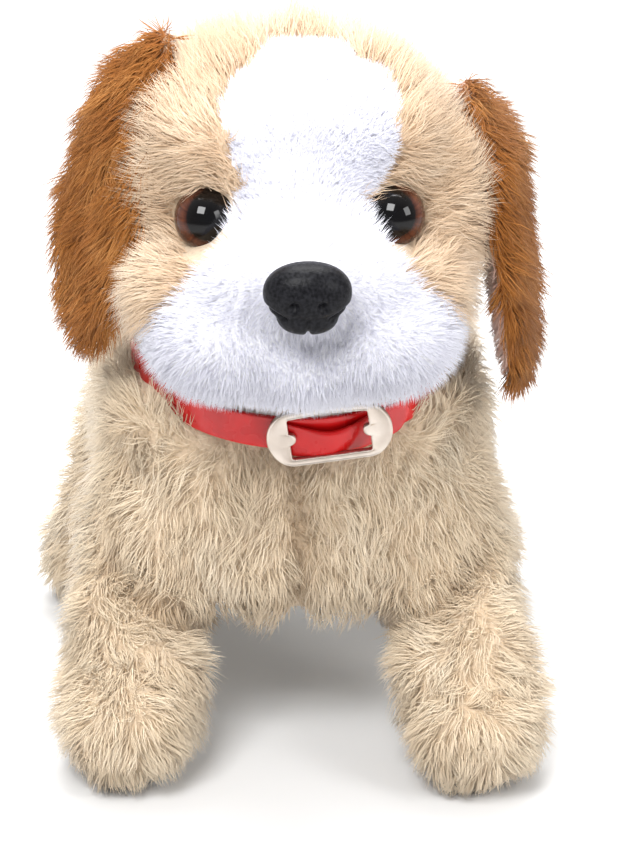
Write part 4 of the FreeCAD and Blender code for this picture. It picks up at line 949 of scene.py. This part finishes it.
STRAP_HALF_THICK, TONGUE_HALF_THICK = 0.7, 0.45
TONGUE_START_DEG, TONGUE_END_DEG = -9, 41
BUCKLE_RISE = 1.2
BUCKLE_ROLL_DEG = -8
BUCKLE_STRAIGHT, BUCKLE_END, BUCKLE_HALF_HEIGHT = 7.6, 5.4, 6.75
WINDOW_HALF_WIDTH, WINDOW_HALF_HEIGHT, WINDOW_CORNER = 7.7, 4.5, 0.6
NUB_X, NUB_RADIUS = 8.3, 1.35


def strap_form(start_deg, end_deg, offset, half_thick, steps, closed):
    """A flat strap swept along part of the collar's oval; 0 degrees is the chest."""
    tilt = np.array(Euler((COLLAR_TILT, 0, 0)).to_matrix())
    section = []
    for step in range(28):
        angle = 2 * math.pi * (step + 0.5) / 28
        cos, sin = math.cos(angle), math.sin(angle)
        section.append((half_thick * math.copysign(abs(cos) ** 0.5, cos),
                        COLLAR_HALF_BAND * math.copysign(abs(sin) ** 0.22, sin)))
    section = np.array(section)
    angles = np.radians(np.linspace(start_deg, end_deg, steps, endpoint=not closed))
    points = []
    for angle in angles:
        centre = np.array([COLLAR_HALF_X * math.sin(angle), -COLLAR_HALF_Y * math.cos(angle), 0])
        outward = unit(np.array([math.sin(angle) / COLLAR_HALF_X, -math.cos(angle) / COLLAR_HALF_Y, 0]))
        out, edge = offset(angle, centre[0], section[:, 1] / COLLAR_HALF_BAND)
        ring = centre + outward * (section[:, 0] + out)[:, None]
        ring = ring + np.array([0, 0, 1.0]) * (COLLAR_HALF_BAND * edge)[:, None]
        points.append(ring)
    count = len(section)
    rings = len(points)
    faces = tube_faces(rings, count, closed)
    if not closed:
        faces.append(tuple(range(count))[::-1])
        faces.append(tuple((rings - 1) * count + step for step in range(count)))
    return np.vstack(points) @ tilt.T + COLLAR_MIDDLE, faces


def ring_offset(angle, x, edge):
    """The loop waves a little where it is pulled into the fur."""
    wave = 0.25 * math.sin(3 * angle + 0.6) + 0.15 * math.sin(7 * angle)
    return wave + 0.12 * edge ** 2, edge


def tongue_offset(angle, x, edge):
    """The outer end bulges through the buckle's window, its upper edge curling down."""
    bulge = hill(x - BUCKLE_X, 6.0)
    out = 1.25 + 1.9 * bulge - 0.7 * bulge * edge ** 2
    band = np.where(edge > 0, 1 - 0.3 * bulge, 1 - 0.06 * bulge)
    tip = ease(TONGUE_END_DEG - 7, TONGUE_END_DEG, math.degrees(angle))
    sunk = 0.3 * hill(x - BUCKLE_X, 11.0)
    return out, (band * edge - sunk) * math.sqrt(max(0.02, 1 - tip ** 2))


def strap_material():
    """Glossy red vinyl, a little uneven."""
    material, tree, shader = material_with("red_vinyl", {
        "Coat Weight": 0.3, "Coat Roughness": 0.06, "IOR": 1.45, "Specular IOR Level": 0.35})
    clouds = noise(tree, 130.0, 3.0)
    mottled(tree, shader, clouds, (0.43, 0.002, 0.003), (0.62, 0.005, 0.006))
    uneven_gloss(tree, shader, clouds, 0.2, 0.36)
    bump(tree, shader, noise(tree, 260.0, 2.0), 0.25, 0.25)
    return material


def buckle_radius(inside, direction):
    """How far a ray from the buckle's middle stays inside an outline."""
    low, high = 0.0, 30.0
    for _ in range(34):
        middle = (low + high) / 2
        if inside(*(direction * middle)):
            low = middle
        else:
            high = middle
    return low


def in_buckle(x, y):
    """Straight top and bottom, arc-shaped ends."""
    over = max(abs(x) - BUCKLE_STRAIGHT, 0) / BUCKLE_END
    return over ** 2 + (y / BUCKLE_HALF_HEIGHT) ** 2 <= 1


def in_window(x, y):
    """A rectangle with a small round nub reaching in from each side."""
    past = math.hypot(max(abs(x) - WINDOW_HALF_WIDTH, 0), max(abs(y) - WINDOW_HALF_HEIGHT, 0))
    return past <= WINDOW_CORNER and math.hypot(abs(x) - NUB_X, y) >= NUB_RADIUS


def buckle_form():
    """A flat frame with a fine raised rim along both of its edges."""
    section = [(0.0, -0.5), (0.0, 0.42), (0.05, 0.62), (0.13, 0.66), (0.2, 0.5), (0.5, 0.46),
               (0.84, 0.5), (0.9, 0.66), (0.96, 0.62), (1.0, 0.4), (1.0, -0.45), (0.9, -0.6), (0.1, -0.6)]
    rays = 288
    points = []
    for step in range(rays):
        angle = 2 * math.pi * (step + 0.5) / rays
        ray = np.array([math.cos(angle), math.sin(angle)])
        inner, outer = buckle_radius(in_window, ray), buckle_radius(in_buckle, ray)
        for share, height in section:
            x, y = ray * (inner + (outer - inner) * share)
            arch = 0.55 * math.exp(-(x / 5.0) ** 2) if y > 0 else 0.0
            points.append((x, y + arch, height))
    return np.array(points), [face[::-1] for face in tube_faces(rays, len(section), True)]


def buckle_material():
    """Worn nickel plate."""
    material, tree, shader = material_with("buckle_nickel", {"Metallic": 1.0})
    mottled(tree, shader, noise(tree, 170.0, 4.0), (0.50, 0.43, 0.37), (0.65, 0.58, 0.52))
    scuffs = noise(tree, 1400.0, 4.0)
    uneven_gloss(tree, shader, scuffs, 0.24, 0.46)
    bump(tree, shader, scuffs, 0.2, 0.06)
    return material


def make_collar():
    material = strap_material()
    loop = mesh_object("collar_loop", *strap_form(0, 360, ring_offset, STRAP_HALF_THICK, 200, True))
    tongue = mesh_object("collar_tongue", *strap_form(
        TONGUE_START_DEG, TONGUE_END_DEG, tongue_offset, TONGUE_HALF_THICK, 70, False))
    for strap in (loop, tongue):
        strap.data.materials.append(material)
        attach(strap, "chassis")
    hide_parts("collar_strap")

    buckle = mesh_object("collar_buckle_frame", *buckle_form())
    middle = Vector(middle_of("collar_buckle") * MM)
    lean = Matrix.Rotation(COLLAR_TILT, 4, "X") @ Matrix.Rotation(math.radians(BUCKLE_ROLL_DEG), 4, "Y")
    upright = Matrix.Rotation(math.radians(90), 4, "X")
    raised = Matrix.Translation((0, BUCKLE_RISE * MM, 0))
    buckle.matrix_world = Matrix.Translation(middle) @ lean @ upright @ raised
    buckle.data.materials.append(buckle_material())
    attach(buckle, "chassis")
    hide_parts("collar_buckle")


# ---------------------------------------------------------------- coats

def shades(*colours):
    """Evenly spaced ramp stops."""
    return [(i / (len(colours) - 1), colour) for i, colour in enumerate(colours)]


BEIGE = fur_material("fur_beige",
                     shades((0.50, 0.345, 0.22), (0.67, 0.505, 0.355), (0.82, 0.69, 0.54)),
                     shades((0.78, 0.69, 0.62), (0.96, 0.94, 0.92), (1.0, 1.0, 1.0)), 0.3)
BODY = fur_material("fur_body",
                    shades((0.59, 0.455, 0.315), (0.75, 0.62, 0.455), (0.86, 0.76, 0.61)),
                    shades((0.76, 0.68, 0.60), (0.95, 0.93, 0.91), (1.0, 1.0, 1.0)), 0.35)
WHITE = fur_material("fur_white",
                     shades((0.72, 0.72, 0.79), (0.80, 0.80, 0.87), (0.86, 0.86, 0.92)),
                     shades((0.86, 0.86, 0.9), (1.0, 1.0, 1.0)), 0.15)
BROWN = fur_material("fur_brown",
                     shades((0.18, 0.057, 0.009), (0.34, 0.125, 0.025), (0.58, 0.285, 0.092)),
                     shades((0.6, 0.5, 0.42), (0.95, 0.92, 0.9), (1.0, 1.0, 1.0)), 0.12)
LINING = fur_material("fur_lining",
                      shades((0.60, 0.36, 0.29), (0.76, 0.52, 0.43), (0.85, 0.66, 0.56)),
                      shades((0.8, 0.72, 0.7), (1.0, 1.0, 1.0)), 0.3)

BEIGE_BACKING = backing_material("backing_beige", (0.58, 0.44, 0.30), (0.70, 0.56, 0.41))
WHITE_BACKING = backing_material("backing_white", (0.80, 0.80, 0.83), (0.9, 0.9, 0.92))
BROWN_BACKING = backing_material("backing_brown", (0.25, 0.12, 0.05), (0.36, 0.18, 0.08))


def evenly(millimetres, sway=0.12, seed=21):
    """A pile length that varies a little from place to place."""
    return lambda points: millimetres * (1 + sway * ripple(points, 18, seed))


def away_from_nose(points, normals):
    """Hair on a face lies away from the nose, and hangs on the cheeks."""
    flow = unit(points - NOSE)
    hang = ease(125, 100, points[:, 2])[:, None]
    return flow + DOWN * (0.25 + 1.1 * hang) + 0.45 * swirl(points, 15, 31)


def beside_collar(points):
    """1 on the shoulders just under the collar, where the pile stands up over it."""
    across, along, above = collar_frame(points)
    near = hill(np.maximum(-above - 4, 0), 6) * (above < -2)
    return near * ease(17, 24, np.abs(across)) * (along < 12)


def off_chest_seam(points):
    """Distance from the seam down the middle of the chest, and far elsewhere."""
    return np.where((points[:, 1] < -32) & (points[:, 2] < 78), np.abs(points[:, 0]), 99)


def body_painted_shade(points):
    """Painted shade: darker strands in the chest seam and in the folds over the front legs, where shadow
    falls.
    """
    front = points[:, 1] < -22
    tone = -0.8 * hill(off_chest_seam(points), 1.9)
    for sign in SIGNS:
        tone = tone - 0.6 * hill(crease_line(points, sign), 3.2) * front
    return tone


def on_body(points, normals):
    """Body pile lies down and back, with cowlicks, parted along the chest seam."""
    back = np.array([0.0, 0.45, 0.0]) * ease(-40, 0, points[:, 1])[:, None]
    parting = hill(off_chest_seam(points), 5.0) * np.sign(points[:, 0])
    apart = np.array([1.1, 0.0, 0.0]) * parting[:, None]
    lift = -DOWN * 1.9 * beside_collar(points)[:, None]
    return DOWN * 0.9 + back + apart + lift + 0.5 * swirl(points, 17, 41)


def on_paw(points, normals):
    """Leg pile hangs, with cowlicks."""
    return DOWN * 0.8 + 0.5 * swirl(points, 13, 51)


def hanging(points, normals):
    """Ear pile hangs straighter than the rest."""
    return DOWN + 0.35 * swirl(points, 12, 61)


def up_the_tail(points, normals):
    """The same way everywhere: back and up."""
    return np.array([0.0, 0.5, 0.7]) + 0.0 * points


def head_length(points):
    """Longer on the crown and the cheeks, shorter round the eyes."""
    crown = ease(146, 153, points[:, 2])
    near_eye = sum(hill(off_eye_axis(points, sign), 9) for sign in SIGNS) * (points[:, 1] < FACE_Y)
    cheek = ease(112, 100, points[:, 2]) * ease(16, 26, np.abs(points[:, 0]))
    length = 8.0 * (1 + 0.12 * ripple(points, 18, 22)) * (1 + 0.45 * crown) * (1 - 0.3 * near_eye)
    return length + 4.5 * cheek


def white_length(points):
    """Short on the forehead patch and close to the nose."""
    near_nose = hill(np.hypot(points[:, 0], points[:, 2] - NOSE[2]), 13) * (points[:, 1] < -60)
    return np.where(points[:, 2] > PATCH_FOOT_Z, 3.2, 4.4 - 1.6 * near_nose)


def body_length(points):
    """Shorter beside the collar and in the chest seam."""
    across, along, above = collar_frame(points)
    near_collar = hill(np.maximum(np.abs(above) - 4, 0), 6) * ease(28, 18, np.abs(across))
    near_seam = hill(off_chest_seam(points), 2.4)
    return 8.2 * (1 + 0.1 * ripple(points, 18, 23)) * (1 - 0.35 * near_collar) * (1 - 0.6 * near_seam)


def paw_length(points):
    """Shorter towards the sole."""
    return 7.2 * (1 + 0.1 * ripple(points, 16, 24)) * (0.72 + 0.28 * ease(3, 14, points[:, 2]))


COATS = {
    "beige": Coat(BEIGE, head_length, away_from_nose, stand=0.6, spacing=3.2, pull=0.55, width=0.1,
                  wild=0.26),
    "patch": Coat(WHITE, white_length, away_from_nose, stand=0.84, spacing=1.8, pull=0.15, width=0.08,
                  wild=0.14, droop=0.15),
    # The body and paw coats carry painted shade, darker in the chest seam and the folds over the front
    # legs.
    "body": Coat(BODY, body_length, on_body, stand=0.5, spacing=3.2, pull=0.62, wild=0.26,
                 tone=body_painted_shade),
    "paw": Coat(BODY, paw_length, on_paw, stand=0.5, spacing=3.2, pull=0.62, wild=0.26,
                tone=body_painted_shade),
    "ear": Coat(BROWN, evenly(9.0), hanging, stand=0.34, spacing=3.4, pull=0.65, wild=0.25),
    "lining": Coat(LINING, evenly(3.2), hanging, stand=0.5, spacing=2.4, pull=0.4),
    "tail": Coat(BODY, evenly(8.5), up_the_tail, stand=0.5, spacing=3.4, pull=0.65),
}


# ---------------------------------------------------------------- the stuffed pieces

LEG_STRANDS = {"front": 9500, "rear": 7500}
BACK_Y = 2  # the chest's pile ends here and the back's begins
# Rooms for the mechanism case and for the battery opening in the belly, each from corner to corner.
CASE_ROOM = ((-27.6, -36.6, 35.4), (27.6, 46.6, 82.6))
HATCH_ROOM = ((-20.5, -34.5, 20.0), (20.5, 46.4, 36.0))
# No pile grows within this distance of the battery opening's middle.
OPENING_Y, OPENING_HALF_X, OPENING_HALF_Y, OPENING_TOP_Z = 5.5, 21, 42, 40


def blend_leg(piece):
    """Works the leg piece's placement into its mesh."""
    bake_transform(piece)


def pile_on_body(points):
    """1 where the body carries pile, and 0 under the collar and in the battery opening."""
    pile = 1 - on_collar_band(points, 2.5) * (1 - beside_collar(points))
    across, along = np.abs(points[:, 0]), np.abs(points[:, 1] - OPENING_Y)
    opening = (across < OPENING_HALF_X) & (along < OPENING_HALF_Y) & (points[:, 2] < OPENING_TOP_Z)
    return pile * ~opening


def make_torso(torso):
    chest = grow("fur_chest", torso, 19500, COATS["body"], 100,
                 lambda p, n: pile_on_body(p) * (p[:, 1] < BACK_Y))
    back = grow("fur_back", torso, 17000, COATS["body"], 110,
                lambda p, n: pile_on_body(p) * (p[:, 1] >= BACK_Y))
    hollowed(torso, *CASE_ROOM)
    hollowed(torso, *HATCH_ROOM)
    torso.data.materials.append(BEIGE_BACKING)
    for piece in (torso, chest, back):
        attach(piece, "chassis")
    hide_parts("trunk_plush")


def make_leg(skin, name, seed):
    leg, side = name.split("_")
    sign = dict(SIDES)[side]
    skin.data.materials.append(BEIGE_BACKING)
    fur = grow(f"fur_{name}_leg", skin, LEG_STRANDS[leg], COATS["paw"], seed, outside_cap(leg, sign))
    for piece in (skin, fur):
        blend_leg(piece)
    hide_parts(f"{name}_leg_plush")


def make_torso_and_legs():
    """One sewn skin, stuffed whole and then split where the legs have to move."""
    skin = welded("skin_all", torso_forms() + leg_forms(-1) + leg_forms(1))
    stuffed(skin, torso_seams, 2.0)
    reshape(skin, torso_creases)
    pieces = split_legs(skin)
    make_torso(pieces.pop("torso"))
    for number, (name, leg_skin) in enumerate(pieces.items()):
        make_leg(leg_skin, name, 120 + 10 * number)


def outside_cap(leg, sign):
    """Pile grows on the leg's outside and not on the closed cut inside the torso."""
    place, normal = LEG_CUTS[leg]
    start, along = mirrored(place, sign), unit(mirrored(normal, sign))

    def weight(points, normals):
        past = (points - start) @ along
        inner_face = (past < 0.4) & (normals @ along < -0.9)
        return 1.0 - inner_face

    return weight


CROWN_Y = -22  # where the face's pile gives way to the pile on the back of the head


def blend_head(piece):
    """Works the head piece's placement into its mesh."""
    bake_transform(piece)


def make_head():
    skin = welded("skin_head", head_forms(), 1.6, 30)
    stuffed(skin, head_seams, 1.6)
    reshape(skin, head_dents)

    def beige(points, normals):
        return (1 - white_share(points)) * clear_of_face_parts(points) * (normals[:, 2] > -0.93)

    def white(points, normals):
        return white_share(points) * clear_of_face_parts(points)

    front = grow("fur_face_beige", skin, 18000, COATS["beige"], 200,
                 lambda p, n: beige(p, n) * (p[:, 1] < CROWN_Y))
    rear = grow("fur_head_rear", skin, 15000, COATS["beige"], 205,
                lambda p, n: beige(p, n) * (p[:, 1] >= CROWN_Y))
    muzzle = grow("fur_muzzle", skin, 19500, COATS["patch"], 210,
                  lambda p, n: white(p, n) * (p[:, 2] < PATCH_FOOT_Z))
    patch = grow("fur_patch", skin, 15000, COATS["patch"], 215,
                 lambda p, n: white(p, n) * (p[:, 2] >= PATCH_FOOT_Z))
    skin.data.materials.append(BEIGE_BACKING)
    skin.data.materials.append(WHITE_BACKING)
    middles = np.array([face.center for face in skin.data.polygons]) / MM
    skin.data.polygons.foreach_set("material_index", (white_share(middles) > 0.5).astype(np.int32))
    for piece in (skin, front, rear):
        blend_head(piece)
    for piece in (muzzle, patch):
        blend_head(piece)
    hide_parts("head_plush")
    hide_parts("muzzle_plush")
    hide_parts("forehead_patch")


def make_ears():
    for number, side in enumerate(EARS):
        skin = ear_skin(side)
        skin.data.materials.append(BROWN_BACKING)
        outer = grow(f"fur_ear_{side}", skin, 9000, COATS["ear"], 300 + 10 * number,
                     lambda p, n: (outward_on_ear(n, side) > -0.45) * 1.0)
        inner = grow(f"fur_ear_lining_{side}", skin, 3000, COATS["lining"], 305 + 10 * number,
                     lambda p, n: (outward_on_ear(n, side) < -0.55) * 1.0)
        for piece in (skin, outer, inner):
            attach(piece, f"ear_{side}")
        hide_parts(f"ear_{side}")


def make_tail():
    skin = tail_skin()
    skin.data.materials.append(BEIGE_BACKING)
    fur = grow("fur_tail", skin, 5000, COATS["tail"], 400, lambda p, n: (p[:, 1] > 56) * 1.0)
    for piece in (skin, fur):
        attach(piece, "tail")
    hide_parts("tail_plush")


# ---------------------------------------------------------------- carried-over nodes

def dress_cad_nodes():
    """Gives every CAD node that stays in view a material of its own kind."""
    looks = {
        moulded_material("case_plastic", (0.55, 0.54, 0.51), (0.66, 0.65, 0.62), 0.5):
            ("case_left", "case_right", "battery_door", "battery_box"),
        moulded_material("skull_plastic", (0.68, 0.67, 0.63), (0.78, 0.77, 0.74), 0.42):
            ("head_shell_front", "head_shell_rear"),
        moulded_material("arm_plastic", (0.30, 0.31, 0.33), (0.38, 0.39, 0.41), 0.45):
            ("front_left_leg_arm", "front_right_leg_arm", "rear_left_leg_arm",
             "rear_right_leg_arm", "neck_bracket", "tail_bracket", "tail_lever", "motor_plate",
             "gearbox_cover"),
        moulded_material("gear_plastic", (0.75, 0.73, 0.66), (0.85, 0.83, 0.77), 0.35):
            ("first_gear", "second_gear", "crank_gear", "motor_pinion", "crank_left",
             "crank_right"),
        moulded_material("black_plastic", (0.012, 0.012, 0.014), (0.03, 0.03, 0.034), 0.4):
            ("switch_housing", "switch_knob", "speaker", "board_components"),
        moulded_material("bright_steel", (0.50, 0.50, 0.51), (0.64, 0.64, 0.65), 0.26, 1500.0, 1.0):
            ("case_screws", "head_screws", "leg_screws", "door_screw", "neck_pin", "tail_pin",
             "gear_pins", "crank_axle", "motor_shaft", "motor"),
        moulded_material("plated_spring", (0.62, 0.58, 0.48), (0.75, 0.72, 0.62), 0.24, 1500.0, 1.0):
            ("battery_contacts", "battery_springs"),
        board_material(): ("circuit_board",),
        cell_material(): ("battery_cells",),
    }
    for material, nodes in looks.items():
        for name in nodes:
            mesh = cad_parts[name].data
            if mesh.materials:
                for index in range(len(mesh.materials)):
                    mesh.materials[index] = material
            else:
                mesh.materials.append(material)


# ---------------------------------------------------------------- camera, floor and light

LENS_MM = 135.3
CAMERA_PLACE = (-31.0, -659.0, 320.0)
CAMERA_ASIDE_DEG, CAMERA_DOWN_DEG = 3.2, 21.45
FLOOR_HALF_SIZE = 6.0
FLOOR_GREY = 0.66
LIGHT_TARGET = (0, -0.02, 0.08)
# Each softbox: its name, place and size in metres, and power in watts.
SOFTBOXES = (
    ("key", (-0.3, -0.7, 0.95), (0.5, 0.5), 14.5),
    ("fill", (0.75, -0.65, 0.6), (0.4, 0.5), 5.5),
    ("top", (0.05, 0.35, 1.1), (0.8, 0.6), 15.0),
)


def make_camera():
    """In front, a little to the puppy's right, looking down on it."""
    data = bpy.data.cameras.new("camera")
    data.lens = LENS_MM
    data.sensor_width = 36.0
    data.clip_start = 0.05
    camera = linked("camera", data)
    aside, down = math.radians(CAMERA_ASIDE_DEG), math.radians(CAMERA_DOWN_DEG)
    ahead = Vector((math.sin(aside) * math.cos(down), math.cos(aside) * math.cos(down), -math.sin(down)))
    camera.location = Vector(CAMERA_PLACE) * MM
    camera.rotation_euler = ahead.to_track_quat("-Z", "Y").to_euler()
    bpy.context.scene.camera = camera


def make_floor():
    bm = bmesh.new()
    bmesh.ops.create_grid(bm, x_segments=1, y_segments=1, size=FLOOR_HALF_SIZE)
    mesh = bpy.data.meshes.new("floor")
    bm.to_mesh(mesh)
    bm.free()
    floor = linked("floor", mesh)
    grey = (FLOOR_GREY, FLOOR_GREY, FLOOR_GREY, 1)
    floor.data.materials.append(material_with("floor_white", {"Roughness": 0.9, "Base Color": grey})[0])


def add_softbox(name, place, size, power):
    data = bpy.data.lights.new(name, "AREA")
    data.shape = "RECTANGLE"
    data.size, data.size_y = size
    data.energy = power
    lamp = linked(name, data)
    lamp.location = place
    lamp.rotation_euler = (Vector(LIGHT_TARGET) - Vector(place)).to_track_quat("-Z", "Y").to_euler()


def make_light():
    """White surroundings, dimmer behind the camera so that gloss keeps its colour."""
    world = bpy.data.worlds.new("studio")
    world.use_nodes = True
    tree = world.node_tree
    background = tree.nodes["Background"]
    background.inputs["Color"].default_value = (1.0, 1.0, 1.0, 1)
    direction = add_node(tree, "SeparateXYZ", {"Vector": add_node(tree, "TexCoord").outputs["Generated"]})
    backwards = add_node(tree, "MapRange", {"Value": direction.outputs["Y"], "From Min": -0.6,
                                            "From Max": 0.3, "To Min": 0.4, "To Max": 0.92})
    tree.links.new(backwards.outputs["Result"], background.inputs["Strength"])
    bpy.context.scene.world = world
    for softbox in SOFTBOXES:
        add_softbox(*softbox)
    bpy.context.scene.view_settings.view_transform = "Standard"


# ---------------------------------------------------------------- everything

make_camera()
make_floor()
make_light()
dress_cad_nodes()
make_torso_and_legs()
make_head()
make_ears()
make_tail()
make_eyes()
make_nose()
make_collar()
